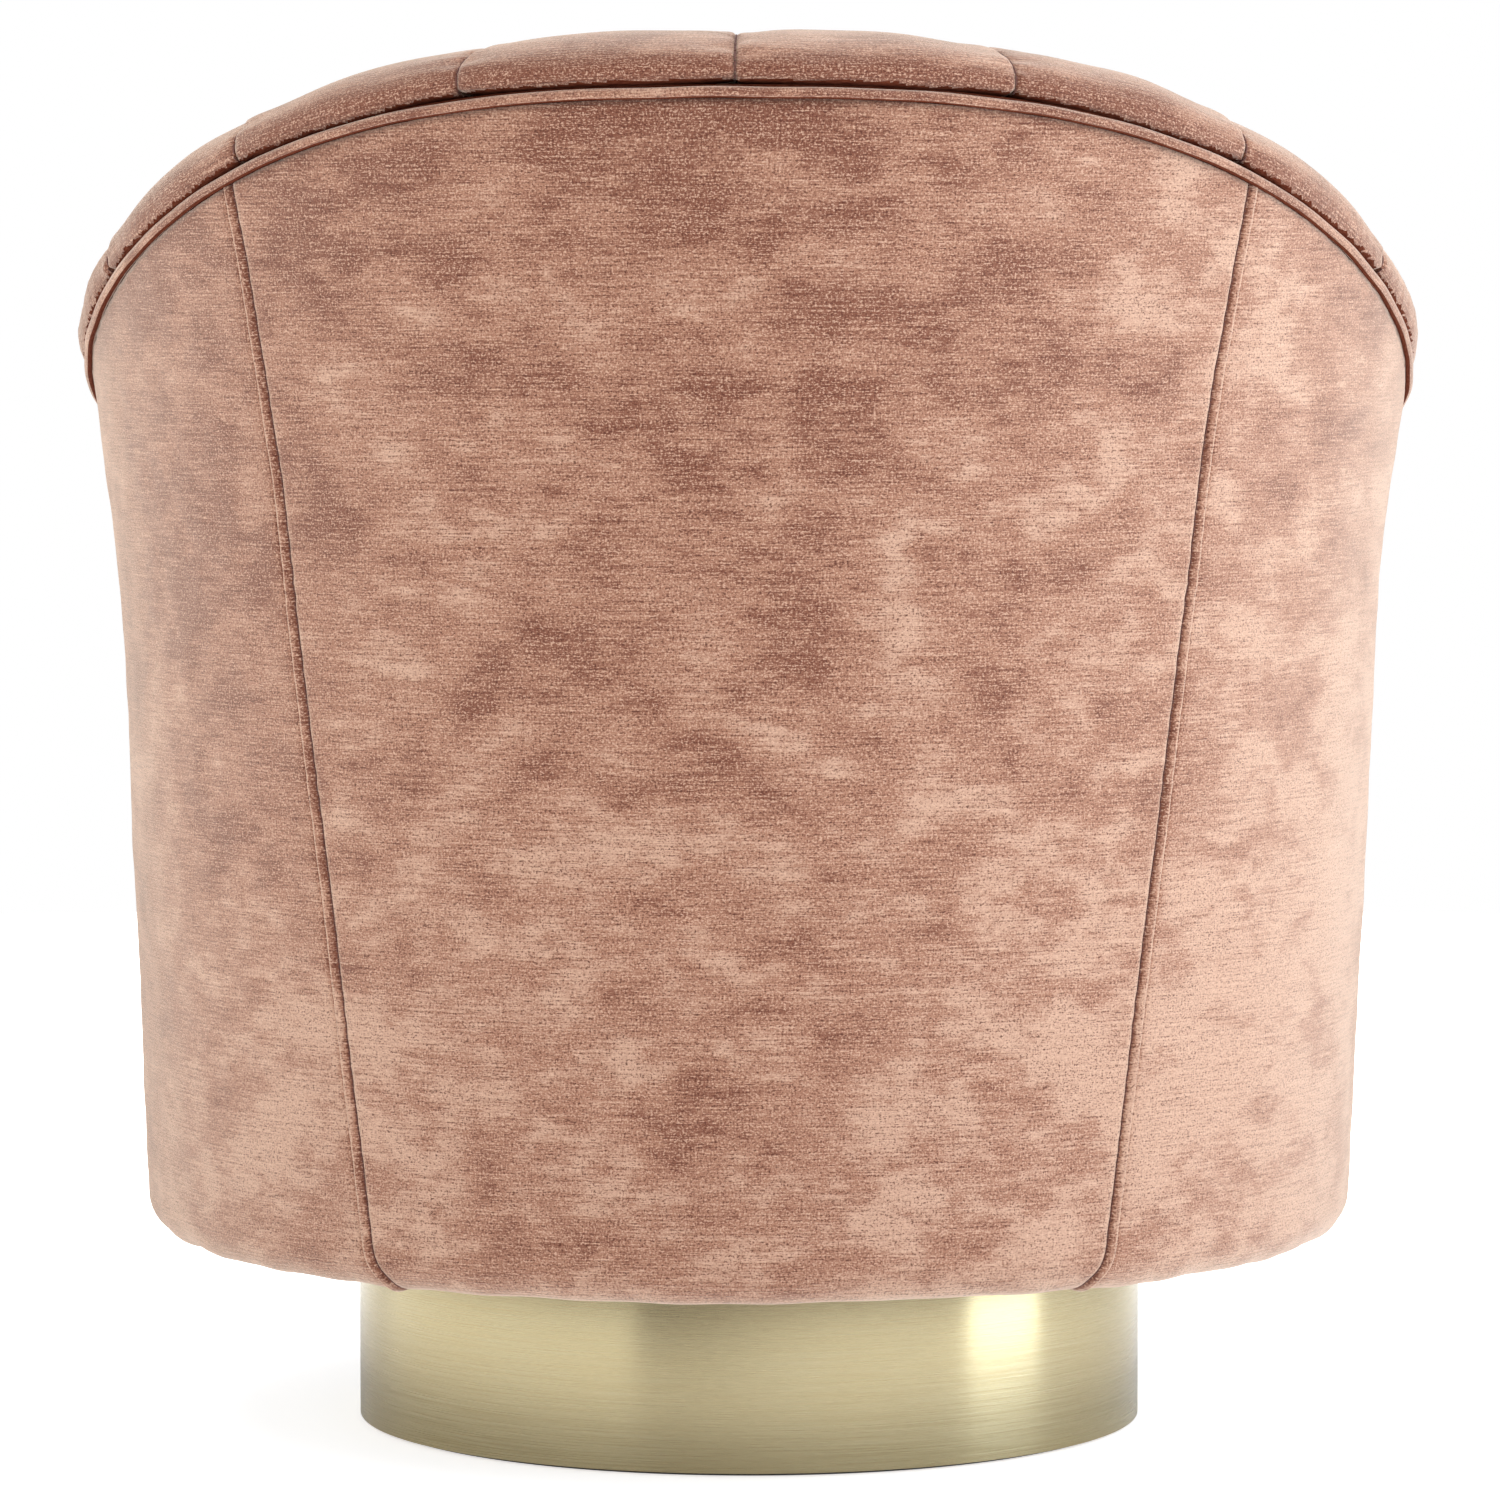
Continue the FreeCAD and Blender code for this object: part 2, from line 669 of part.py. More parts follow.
def cover_skin(angle, top, inset):
    """Outer face of the cover, or its inner face at an inset, from the top down to the hem's turn."""
    low = hem_height + hem_round
    wall = [(shell_radius(angle, z) - inset, z) for z in levels(top, low)]
    middle = shell_radius(angle, low) - hem_round
    curve = quarter(middle, low, hem_round - inset, 0, -90)[1:]
    return wall + curve + [(hem_turn_radius, hem_height + inset)]


def cover_section(angle):
    top = rim(angle) - roll_low
    return cover_skin(angle, top, 0) + cover_skin(angle, top, cover_thickness)[::-1]


def front_section(angle):
    low = front_top_height - front_round
    middle = shell_radius(angle, low) - front_round
    turned = middle + front_round - front_turn_depth
    outer = [(turned, front_top_height)] + quarter(middle, low, front_round, 90, 0, 3)[:-1]
    inner = [(turned, front_top_height - cover_thickness)]
    inner += quarter(middle, low, front_round - cover_thickness, 90, 0, 3)[:-1]
    return outer + cover_skin(angle, low, 0) + (inner + cover_skin(angle, low, cover_thickness))[::-1]


def seam_slab(side):
    """Thin slab along a panel seam, cut square to the cover."""
    low = at(side * seam_low_angle, shell_radius(0, hem_height), hem_height)
    high_angle = side * seam_high_angle
    high = at(high_angle, shell_radius(high_angle, seam_high_height), seam_high_height)
    along = (high - low).normalize()
    outward = at(side * (seam_low_angle + seam_high_angle) / 2, 1, 0)
    across = along.cross(outward).normalize()
    outward = across.cross(along).normalize()
    length = 2 * rim_back_height
    depth = hem_radius / 2
    corner = low - along * (length / 4) - outward * depth - across * (seam_gap / 2)
    edge = Part.Face(Part.makePolygon([corner, corner + along * length,
                                       corner + along * length + outward * 2 * depth,
                                       corner + outward * 2 * depth, corner]))
    return edge.extrude(across * seam_gap)


def make_covers():
    cover = wrap(cover_section, -arm_pad_end, arm_pad_end)
    panels = cover.cut(seam_slab(1)).cut(seam_slab(-1)).Solids
    panels.sort(key=lambda panel: panel.CenterOfMass.x)
    for name, panel in zip(("outer_panel_left", "outer_panel_back", "outer_panel_right"), panels):
        save(name, [panel])
    gap = channel_gap_angle
    save("front_panel", [wrap(front_section, arm_pad_end + gap, 360 - arm_pad_end - gap)])

    def welt(angle):
        middle = shell_radius(angle, rim(angle)) + welt_gap
        return quarter(middle, rim(angle), welt_radius, 0, 315, 7)
    save("welt", [wrap(welt, -arm_pad_end, arm_pad_end)])
    save("dust_cover", [tube_z(hem_turn_radius - layer_gap, dust_cover_inner,
                               frame_low - seat_gap - dust_cover_thickness, frame_low - seat_gap)])


# ---- Seat ----
def deck_radius():
    return shell_radius(0, seat_ring_top) - wall_depth - deck_gap


def spring_anchor_radius():
    return deck_radius() - spring_inset


def spring_stations():
    reach = spring_spread * spring_anchor_radius()
    return [reach * (2 * index / (spring_count - 1) - 1) for index in range(spring_count)]


def zigzag(x_middle):
    """Sinuous spring: straight runs across, joined by half rounds, ending on a run at each clip."""
    half = math.sqrt(spring_anchor_radius() ** 2 - x_middle ** 2)
    runs = 2 * round(half / spring_pitch) + 1
    pitch = 2 * half / (runs - 1)
    turn = pitch / 2
    reach = spring_width / 2 - turn
    z = seat_ring_top + clip_wall + spring_wire / 2
    edges = []
    for index in range(runs):
        y = -half + index * pitch
        way = 1 if index % 2 == 0 else -1
        start = V(x_middle - way * reach, y, z)
        end = V(x_middle + way * reach, y, z)
        edges.append(Part.LineSegment(start, end).toShape())
        if index < runs - 1:
            peak = end + V(way * turn, turn, 0)
            edges.append(Part.Arc(end, peak, end + V(0, pitch, 0)).toShape())
    path = Part.Wire(edges)
    start = V(x_middle - reach, -half, z)
    section = Part.Wire(Part.makeCircle(spring_wire / 2, start, SIDE))
    return path.makePipeShell([section], True, True)


def spring_clip(x_middle, side):
    """Folded plate clip, open like a sleeve across the spring's end run."""
    y = side * math.sqrt(spring_anchor_radius() ** 2 - x_middle ** 2)
    half = clip_length / 2
    width = spring_width / 2 - 2 * spring_wire      # covers the straight part of the end run
    low = seat_ring_top
    outer = block(x_middle - width / 2, x_middle + width / 2, y - half, y + half, low, clip_top)
    slot_half = spring_wire / 2 + pivot_clearance
    inner = block(x_middle - width / 2, x_middle + width / 2, y - slot_half, y + slot_half,
                  low + clip_wall - pivot_clearance, low + clip_wall + spring_wire + pivot_clearance)
    return outer.cut(inner)


def keyhole(round_radius, front_radius, low, height, corner):
    """Seat plan: round inside the channels, reaching forward between the arm fronts."""
    disc = Part.makeCylinder(round_radius, height, V(0, 0, low))
    half = 180 - arm_pad_end - arm_gap_angle
    wedge = Part.makeCylinder(front_radius, height, V(0, 0, low), UP, 2 * half)
    wedge.rotate(V(0, 0, 0), UP, -90 - half)
    plan = disc.fuse(wedge).removeSplitter()
    edges = []
    for edge in plan.Edges:
        middle = edge.CenterOfMass
        upright = edge.BoundBox.ZLength > 0.9 * height
        if upright and math.hypot(middle.x, middle.y) > front_radius - corner:
            edges.append(edge)
    return plan.makeFillet(corner, edges)


def make_seat():
    ring_outer = shell_radius(0, seat_ring_height) - wood_inner - layer_gap
    ring = tube_z(ring_outer, seat_ring_inner, seat_ring_height, seat_ring_top)
    ring = drill(ring, bolt_radius + hole_clearance, upright_hole_places(), seat_ring_height, seat_ring_top)
    save("seat_ring", [ring])
    save("sinuous_springs", [zigzag(x) for x in spring_stations()])
    save("spring_clips", [spring_clip(x, side) for x in spring_stations() for side in (-1, 1)])
    save("deck_cloth", [Part.makeCylinder(deck_radius(), deck_cloth_thickness, V(0, 0, deck_low))])
    foam_low = deck_low + deck_cloth_thickness
    foam = Part.makeCylinder(deck_radius(), front_top_height - foam_low, V(0, 0, foam_low))
    save("deck_foam", [foam])
    round_radius = shell_radius(0, cushion_low) - wall_depth - cushion_gap
    front_radius = shell_radius(180, front_top_height) + cushion_front_overhang
    full = cushion_edge_height + cushion_crown
    plan = keyhole(round_radius, front_radius, cushion_low, full, cushion_corner)
    dome = (round_radius ** 2 + cushion_crown ** 2) / (2 * cushion_crown)
    top = cushion_low + full
    save("seat_cushion", [plan.common(Part.makeSphere(dome, V(0, 0, top - dome)))])


make_base()
make_swivel()
make_glide()
make_frame()
make_channels()
make_arm_fronts()
make_covers()
make_seat()
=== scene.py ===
import json
import math

import bmesh
import bpy
import numpy as np
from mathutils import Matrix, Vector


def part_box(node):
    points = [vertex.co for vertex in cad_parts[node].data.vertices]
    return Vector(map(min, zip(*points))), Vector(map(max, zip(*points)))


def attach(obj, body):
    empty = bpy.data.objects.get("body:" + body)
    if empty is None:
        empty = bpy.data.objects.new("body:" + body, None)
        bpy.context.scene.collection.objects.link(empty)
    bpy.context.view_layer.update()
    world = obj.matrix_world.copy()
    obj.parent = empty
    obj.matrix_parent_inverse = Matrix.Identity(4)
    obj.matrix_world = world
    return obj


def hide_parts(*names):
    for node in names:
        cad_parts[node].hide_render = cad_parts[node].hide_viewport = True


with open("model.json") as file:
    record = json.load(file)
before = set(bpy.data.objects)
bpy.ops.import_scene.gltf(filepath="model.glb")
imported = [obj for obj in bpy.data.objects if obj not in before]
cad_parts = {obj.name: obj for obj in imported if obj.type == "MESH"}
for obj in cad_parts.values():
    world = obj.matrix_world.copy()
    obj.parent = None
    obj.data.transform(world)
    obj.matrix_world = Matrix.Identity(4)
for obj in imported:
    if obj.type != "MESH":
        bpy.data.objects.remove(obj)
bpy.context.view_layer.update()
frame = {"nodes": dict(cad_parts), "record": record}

# Looks of the barrel glider chair: velvet covers, channel pads, cushion, drum and studio.
# Metres, in the frame's own axes. Angles round the shell are degrees from the middle of the back (+Y),
# positive towards +X.

# ---- The shell's lines, as the frame was built ----
HEM_HEIGHT = 0.110
HEM_RADIUS = 0.3415
SHELL_LEAN = 0.042
RIM_FLARE = 0.011
FLARE_DEPTH = 0.180
HEM_ROUND = 0.022
RIM_BACK = 0.7455
RIM_FALL = 0.206
RIM_BEND = 0.69
ARM_END = 135.0             # the last channel ends here
PAD_END = 138.0             # and the arm front pad here
WALL_DEPTH = 0.096          # cover to the crest of the channels
ROLL_OVERHANG = 0.004
ROLL_RISE = 0.031
WELT_RADIUS = 0.003
WELT_OUT = 0.0005
ROLL_LOW = 0.0035           # underside of the roll above the middle of the welt
CHANNEL_BACK = 0.0337       # cover to the back of the channels
PAD_BACK = 0.0045           # cover to the back of the arm front pads
HEM_TURN = 0.0415
SEAM_LOW_ANGLE = 34.5
SEAM_HIGH_ANGLE = 46.0
SEAM_RISE = 0.697 - HEM_HEIGHT      # the seam has its high angle this far above the hem
CHANNELS_A_SIDE = 6
STITCH_LIFT = 0.0005        # thread of the panel seams above the cloth

# ---- Places read from the frame ----
DRUM_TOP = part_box("base_brass_band")[1].z
DRUM_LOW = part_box("base_brass_band")[0].z
DRUM_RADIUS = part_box("base_brass_band")[1].x
CHANNEL_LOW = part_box("channel_right_1")[0].z
PAD_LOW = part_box("arm_front_right")[0].z
FRONT_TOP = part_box("front_panel")[1].z
CUSHION_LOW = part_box("seat_cushion")[0].z
CUSHION_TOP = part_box("seat_cushion")[1].z
DECK_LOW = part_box("deck_cloth")[0].z
FOAM_LOW, FOAM_TOP = (corner.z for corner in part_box("deck_foam"))
DECK_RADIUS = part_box("deck_foam")[1].x
DUST_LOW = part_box("dust_cover")[0].z
DUST_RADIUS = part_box("dust_cover")[1].x
FELT_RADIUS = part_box("base_felt_pad")[1].x
FELT_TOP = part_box("base_felt_pad")[1].z


def smooth(value, low, high):
    """0 below low, 1 above high, with an easy turn between."""
    share = np.clip((value - low) / (high - low), 0, 1)
    return share * share * (3 - 2 * share)


def rim(angle):
    """Height of the welt round the shell."""
    reach = 1 - np.cos(np.radians(np.minimum(np.abs(angle), PAD_END)))
    share = reach / (1 - math.cos(math.radians(PAD_END)))
    return RIM_BACK - RIM_FALL * np.sin(math.pi / 2 * share ** RIM_BEND) ** 2


def shell_radius(angle, height):
    """Outside radius of the cover."""
    top = rim(angle)
    level = np.minimum(height, top)
    rise = np.maximum(0, (level - top + FLARE_DEPTH) / FLARE_DEPTH)
    return HEM_RADIUS + SHELL_LEAN * (level - HEM_HEIGHT) + RIM_FLARE * rise ** 2


def painted_pale_side(angle):
    """Painted light: paler velvet on the side that faces softbox_right (negative angles), added through the
    nap attribute.
    """
    return -0.42 * smooth(-angle, 5, 52)


def place(angle, radius, height):
    """Points from angle, radius and height."""
    turn = np.radians(angle)
    angle, radius, height = np.broadcast_arrays(turn, radius, height)
    return np.stack([radius * np.sin(turn), radius * np.cos(turn), height], axis=-1)


def unwrap(points):
    """Angle, radius and height of points."""
    angle = np.degrees(np.arctan2(points[..., 0], points[..., 1]))
    return angle, np.hypot(points[..., 0], points[..., 1]), points[..., 2]


def unevenness(across, along, size, seed, count=9):
    """Soft lumps between about -1.5 and 1.5, of a given size, the same on every run."""
    draw = np.random.default_rng(seed)
    total = 0
    for _ in range(count):
        turn, start = draw.uniform(0, math.tau, 2)
        length = size * draw.uniform(0.7, 1.6)
        total = total + np.sin(math.tau * (across * math.cos(turn) + along * math.sin(turn)) / length + start)
    return total / math.sqrt(count)


def ripple(along, length, seed, count=6):
    """Uneven waves along one line."""
    draw = np.random.default_rng(seed)
    total = 0
    for _ in range(count):
        wave = length * draw.uniform(0.6, 1.7)
        total = total + np.sin(math.tau * along / wave + draw.uniform(0, math.tau))
    return total / math.sqrt(count)


# ---- Mesh work ----
def new_piece(name, points, faces, cloth=None):
    """Mesh object with smooth faces, and a cloth map in metres if one is given for each point."""
    mesh = bpy.data.meshes.new(name)
    mesh.from_pydata([tuple(point) for point in np.reshape(points, (-1, 3))], [], faces)
    mesh.polygons.foreach_set("use_smooth", [True] * len(mesh.polygons))
    piece = bpy.data.objects.new(name, mesh)
    bpy.context.scene.collection.objects.link(piece)
    if cloth is not None:
        lay_cloth(piece, cloth)
    return piece


def lay_cloth(piece, cloth, other=None, chosen=None):
    """Write the cloth map, weft and warp distance at every point; chosen faces take the other map."""
    mesh = piece.data
    corners = np.zeros(len(mesh.loops), int)
    mesh.loops.foreach_get("vertex_index", corners)
    laid = np.reshape(cloth, (-1, 2))[corners]
    if other is not None:
        sizes = np.zeros(len(mesh.polygons), int)
        mesh.polygons.foreach_get("loop_total", sizes)
        laid = np.where(np.repeat(chosen, sizes)[:, None], np.reshape(other, (-1, 2))[corners], laid)
    layer = mesh.uv_layers.new(name="cloth")
    layer.data.foreach_set("uv", laid.astype(np.float32).ravel())


def faces_of(piece):
    """Middles and normals of the faces."""
    middles = np.zeros(len(piece.data.polygons) * 3)
    normals = np.zeros(len(piece.data.polygons) * 3)
    piece.data.polygons.foreach_get("center", middles)
    piece.data.polygons.foreach_get("normal", normals)
    return middles.reshape(-1, 3), normals.reshape(-1, 3)


def facing_round(piece):
    """Faces that look along the shell, towards a neighbour or out of an arm's end."""
    middles, normals = faces_of(piece)
    angle = np.arctan2(middles[:, 0], middles[:, 1])
    return np.abs(normals[:, 0] * np.cos(angle) - normals[:, 1] * np.sin(angle)) > 0.72


def lay_nap_and_painted_light(piece, nap_and_painted_light):
    """Write the nap attribute at every point: 1 looks deep, -1 looks pale. It carries the pile's own patches
    and crush mark, and also painted shade and painted highlights.
    """
    piece.data.attributes.new("nap_and_painted_light", "FLOAT", "POINT").data.foreach_set("value", nap_and_painted_light.astype(np.float32))


def grid_faces(rows, columns, close_rows=False, close_columns=False):
    """Quads of a grid whose points run column by column along each row."""
    faces = []
    for row in range(rows if close_rows else rows - 1):
        for column in range(columns if close_columns else columns - 1):
            right = (column + 1) % columns
            above = (row + 1) % rows
            faces.append((row * columns + column, row * columns + right,
                          above * columns + right, above * columns + column))
    return faces


def facing_out(points, away):
    """Unit normals of a grid of points, on the side that away points to."""
    along = np.gradient(points, axis=0)
    across = np.gradient(points, axis=1)
    normal = np.cross(along, across)
    normal /= np.maximum(np.linalg.norm(normal, axis=-1, keepdims=True), 1e-12)
    side = np.sign((normal * away).sum(-1, keepdims=True))
    return normal * np.where(side == 0, 1, side)


def settle(piece):
    """Apply every modifier, so that a plain mesh is left."""
    graph = bpy.context.evaluated_depsgraph_get()
    mesh = bpy.data.meshes.new_from_object(piece.evaluated_get(graph))
    piece.modifiers.clear()
    piece.data = mesh
    return piece


def turn_out(piece):
    """Merge doubles and point all faces outwards."""
    shape = bmesh.new()
    shape.from_mesh(piece.data)
    bmesh.ops.remove_doubles(shape, verts=shape.verts, dist=1e-6)
    bmesh.ops.recalc_face_normals(shape, faces=shape.faces)
    shape.to_mesh(piece.data)
    shape.free()
    return piece


def thicken(piece, depth):
    """Give a skin its thickness on the inner side."""
    wall = piece.modifiers.new("wadding", "SOLIDIFY")
    wall.thickness = depth
    wall.offset = -1
    wall.use_even_offset = False
    return settle(piece)


def points_of(piece):
    points = np.zeros(len(piece.data.vertices) * 3)
    piece.data.vertices.foreach_get("co", points)
    return points.reshape(-1, 3)


def normals_of(piece):
    normals = np.zeros(len(piece.data.vertices) * 3)
    piece.data.vertex_normals.foreach_get("vector", normals)
    return normals.reshape(-1, 3)


def move_points(piece, points):
    piece.data.vertices.foreach_set("co", points.astype(np.float32).ravel())
    piece.data.update()


def revolve(name, outline, count=256):
    """Closed ring about the swivel axis from (radius, height) corners."""
    turns = np.linspace(0, 360, count, endpoint=False)
    radius, height = np.array(outline).T
    points = [place(turn, radius, height) for turn in turns]
    return turn_out(new_piece(name, np.array(points), grid_faces(count, len(outline), True, True)))


def rounded(corners, size, steps=3):
    """Closed outline with each corner cut by a small round."""
    outline = []
    count = len(corners)
    for index, corner in enumerate(np.array(corners, float)):
        before = np.array(corners[index - 1]) - corner
        after = np.array(corners[(index + 1) % count]) - corner
        start = corner + before / np.linalg.norm(before) * size
        end = corner + after / np.linalg.norm(after) * size
        for share in np.linspace(0, 1, steps):
            outline.append((1 - share) ** 2 * start + 2 * share * (1 - share) * corner + share ** 2 * end)
    return outline


def capped(rows, count):
    """Quads of a closed stack of rings, with a face over each end."""
    last = (rows - 1) * count
    return grid_faces(rows, count, close_columns=True) + [tuple(range(count))[::-1],
                                                          tuple(range(last, last + count))]


# ---- Finishes ----
def colour(red, green, blue):
    """Linear colour from the values of a paint card, 0 to 255."""
    shades = [value / 255 for value in (red, green, blue)]
    linear = [value / 12.92 if value <= 0.04045 else ((value + 0.055) / 1.055) ** 2.4 for value in shades]
    return linear + [1.0]


class Finish:
    """One shader and the nodes that feed it."""

    def __init__(self, name, base, roughness, metallic=0.0, **fixed):
        self.material = bpy.data.materials.new(name)
        self.material.use_nodes = True
        self.nodes = self.material.node_tree.nodes
        self.shader = self.nodes["Principled BSDF"]
        self.set("Base Color", base)
        self.set("Roughness", roughness)
        self.set("Metallic", metallic)
        for socket, value in fixed.items():
            self.set(socket.replace("_", " "), value)

    def set(self, socket, value):
        """A constant goes on the socket itself, anything else is linked."""
        if isinstance(value, bpy.types.NodeSocket):
            self.material.node_tree.links.new(value, self.shader.inputs[socket])
        else:
            self.shader.inputs[socket].default_value = value

    def node(self, kind, output, inputs, **settings):
        made = self.nodes.new(kind)
        for name, value in settings.items():
            setattr(made, name, value)
        for key, value in inputs.items():
            if isinstance(value, bpy.types.NodeSocket):
                self.material.node_tree.links.new(value, made.inputs[key])
            else:
                made.inputs[key].default_value = value
        return made.outputs[output]

    def cloth(self):
        return self.node("ShaderNodeUVMap", "UV", {}, uv_map="cloth")

    def solid(self):
        return self.node("ShaderNodeTexCoord", "Object", {})

    def stretch(self, vector, scale, turn=0.0, shift=(0, 0, 0)):
        return self.node("ShaderNodeMapping", "Vector", {"Vector": vector, "Scale": scale, "Location": shift,
                                                         "Rotation": (0, 0, math.radians(turn))})

    def noise(self, vector, scale, detail=2.0, roughness=0.5, distortion=0.0):
        return self.node("ShaderNodeTexNoise", "Fac", {"Vector": vector, "Scale": scale, "Detail": detail,
                                                       "Roughness": roughness, "Distortion": distortion})

    def level(self, value, low, high, to_low=0.0, to_high=1.0):
        return self.node("ShaderNodeMapRange", "Result", {"Value": value, "From Min": low, "From Max": high,
                                                          "To Min": to_low, "To Max": to_high},
                         interpolation_type="SMOOTHSTEP")

    def sum(self, *terms):
        """Weighted sum of (value, weight) pairs."""
        total = None
        for value, weight in terms:
            part = self.node("ShaderNodeMath", 0, {0: value, 1: weight}, operation="MULTIPLY")
            if total is not None:
                part = self.node("ShaderNodeMath", 0, {0: total, 1: part}, operation="ADD")
            total = part
        return total

    def times(self, first, second):
        return self.node("ShaderNodeMath", 0, {0: first, 1: second}, operation="MULTIPLY")

    def mix(self, share, first, second):
        return self.node("ShaderNodeMix", 2, {0: share, 6: first, 7: second}, data_type="RGBA")

    def tone(self, value, low, high, first, second):
        """The colour goes from first to second as the value goes from low to high."""
        self.set("Base Color", self.mix(self.level(value, low, high), first, second))

    def height(self, coordinates):
        return self.node("ShaderNodeSeparateXYZ", "Z", {0: coordinates})

    def bump(self, value, distance, strength=1.0):
        self.set("Normal", self.node("ShaderNodeBump", "Normal",
                                     {"Height": value, "Distance": distance, "Strength": strength}))


ROSE = colour(157, 110, 88)
ROSE_PALE = colour(206, 169, 145)
ROSE_DEEP = colour(112, 60, 42)
ROSE_SHADE = colour(80, 34, 22)


def velvet():
    """Crushed velvet: blotches where the pile lies over, thin slubs along the weft, fine pile. The nap
    attribute darkens and pales it too, and through it come painted shade and painted highlights.
    """
    made = Finish("velvet", ROSE, 0.88, Specular_IOR_Level=0.15, Sheen_Weight=1.0, Sheen_Roughness=0.48,
                  Sheen_Tint=colour(255, 233, 214))
    cloth = made.cloth()
    clouds = made.noise(made.stretch(cloth, (4.5, 6.5, 1)), 1.0, 3.0, 0.55, 0.3)
    patches = made.noise(made.stretch(cloth, (19, 28, 1), shift=(3.1, 1.7, 0)), 1.0, 5.0, 0.62, 0.15)
    smudges = made.noise(made.stretch(cloth, (60, 120, 1), shift=(7.3, 4.4, 0)), 1.0, 5.0, 0.7, 0.1)
    slubs = made.noise(made.stretch(cloth, (26, 820, 1)), 1.0, 3.0, 0.75, 0.0)
    threads = made.noise(made.stretch(cloth, (230, 1350, 1), shift=(1, 5, 0)), 1.0, 2.0, 0.75, 0.0)
    warp = made.noise(made.stretch(cloth, (1100, 260, 1), shift=(2, 9, 0)), 1.0, 2.0, 0.7, 0.0)
    pile = made.noise(made.stretch(cloth, (780, 980, 1), shift=(4, 6, 0)), 1.0, 1.0, 0.8)
    high = made.level(made.height(made.solid()), 0.15, 0.76, -0.05, 0.06)
    # The nap attribute read here carries the pile's own patches and crush mark together with painted shade
    # (seam grooves, under the welt, the roll's underside) and painted highlights (fold crests, upward faces,
    # the side towards softbox_right).
    nap_and_painted_light = made.node("ShaderNodeAttribute", "Fac", {}, attribute_name="nap_and_painted_light")
    lean = made.sum((clouds, 0.60), (patches, 0.80), (smudges, 0.36), (slubs, 0.22), (threads, 0.10),
                    (high, 1.0))
    lean = made.sum((lean, 1.0), (nap_and_painted_light, 0.26))
    crushed = made.level(lean, 1.02, 1.20)
    brushed = made.level(lean, 1.03, 0.85)
    fine = made.sum((slubs, 0.32), (threads, 0.30), (warp, 0.26), (pile, 0.55))
    tone = made.mix(made.times(crushed, 0.85), ROSE, ROSE_DEEP)
    tone = made.mix(made.times(brushed, 0.60), tone, ROSE_PALE)
    tone = made.mix(made.level(fine, 0.725, 0.85, 0.0, 0.9), tone, ROSE_SHADE)
    tone = made.mix(made.level(fine, 0.715, 0.58, 0.0, 0.8), tone, ROSE_PALE)
    made.set("Base Color", tone)
    made.bump(made.sum((slubs, 0.9), (threads, 0.5), (warp, 0.3), (patches, 0.8)), 0.0009, 0.75)
    return made.material


def make_velvet_painted_shade():
    """A darker copy of the velvet with no sheen: painted shade for faces in a joint or turned down under the
    roll and the welt, and for the whole welt flange.
    """
    made = Finish("velvet_with_painted_shade", ROSE_DEEP, 0.95, Specular_IOR_Level=0.05)
    threads = made.noise(made.stretch(made.cloth(), (200, 1400, 1)), 1.0, 3.0, 0.7)
    made.tone(threads, 0.3, 0.7, ROSE_DEEP, ROSE_SHADE)
    made.bump(threads, 0.0006)
    return made.material


def stitch_thread():
    made = Finish("stitch_thread", colour(84, 36, 24), 0.6, Sheen_Weight=0.2)
    twist = made.noise(made.stretch(made.solid(), (300, 300, 2600)), 1.0, 1.0)
    made.set("Base Color", made.mix(twist, colour(70, 26, 16), colour(112, 58, 42)))
    made.bump(twist, 0.0001)
    return made.material


def brass_band():
    """Pale brass tone, brushed round the drum."""
    made = Finish("brushed_brass", colour(190, 175, 138), 0.27, 1.0,
                  Anisotropic=0.85, Anisotropic_Rotation=0.25)
    solid = made.solid()
    grain = made.noise(made.stretch(solid, (9, 9, 2600)), 1.0, 3.0, 0.75)
    hairs = made.noise(made.stretch(solid, (26, 26, 5200), shift=(1, 2, 3)), 1.0, 2.0, 0.8)
    cloudy = made.noise(solid, 7.0, 3.0, 0.6)
    lines = made.sum((grain, 0.6), (hairs, 0.4))
    tone = made.mix(made.level(lines, 0.35, 0.65), colour(178, 162, 124), colour(197, 184, 148))
    made.set("Base Color", made.mix(made.level(cloudy, 0.35, 0.7, 0, 0.35), tone, colour(190, 172, 130)))
    made.set("Roughness", made.level(lines, 0.3, 0.7, 0.23, 0.31))
    made.set("Tangent", made.node("ShaderNodeTangent", "Tangent", {}, direction_type="RADIAL", axis="Z"))
    made.bump(lines, 0.00006, 0.55)
    return made.material


def wood(name, light, dark, plies):
    """Raw timber: long grain with pores, and the layers of the board on cut edges where it has them."""
    made = Finish(name, light, 0.68, Specular_IOR_Level=0.25)
    solid = made.solid()
    grain = made.noise(made.stretch(solid, (9, 70, 70), turn=12), 1.0, 4.0, 0.6, 0.6)
    pores = made.noise(made.stretch(solid, (70, 700, 700), turn=12), 1.0, 2.0, 0.7)
    tone = made.mix(made.level(made.sum((grain, 0.8), (pores, 0.2)), 0.35, 0.68), light, dark)
    if plies:
        layers = made.node("ShaderNodeTexWave", "Fac",
                           {"Vector": solid, "Scale": 105.0, "Distortion": 0.5, "Detail": 2.0,
                            "Detail Scale": 0.2}, bands_direction="Z")
        upright = made.height(made.node("ShaderNodeNewGeometry", "Normal", {}))
        edge = made.level(made.node("ShaderNodeMath", 0, {0: upright}, operation="ABSOLUTE"), 0.6, 0.3)
        tone = made.mix(made.times(edge, made.level(layers, 0.35, 0.75, 0, 0.75)), tone, dark)
    made.set("Base Color", tone)
    made.bump(made.sum((grain, 0.4), (pores, 0.6)), 0.0004, 0.5)
    return made.material


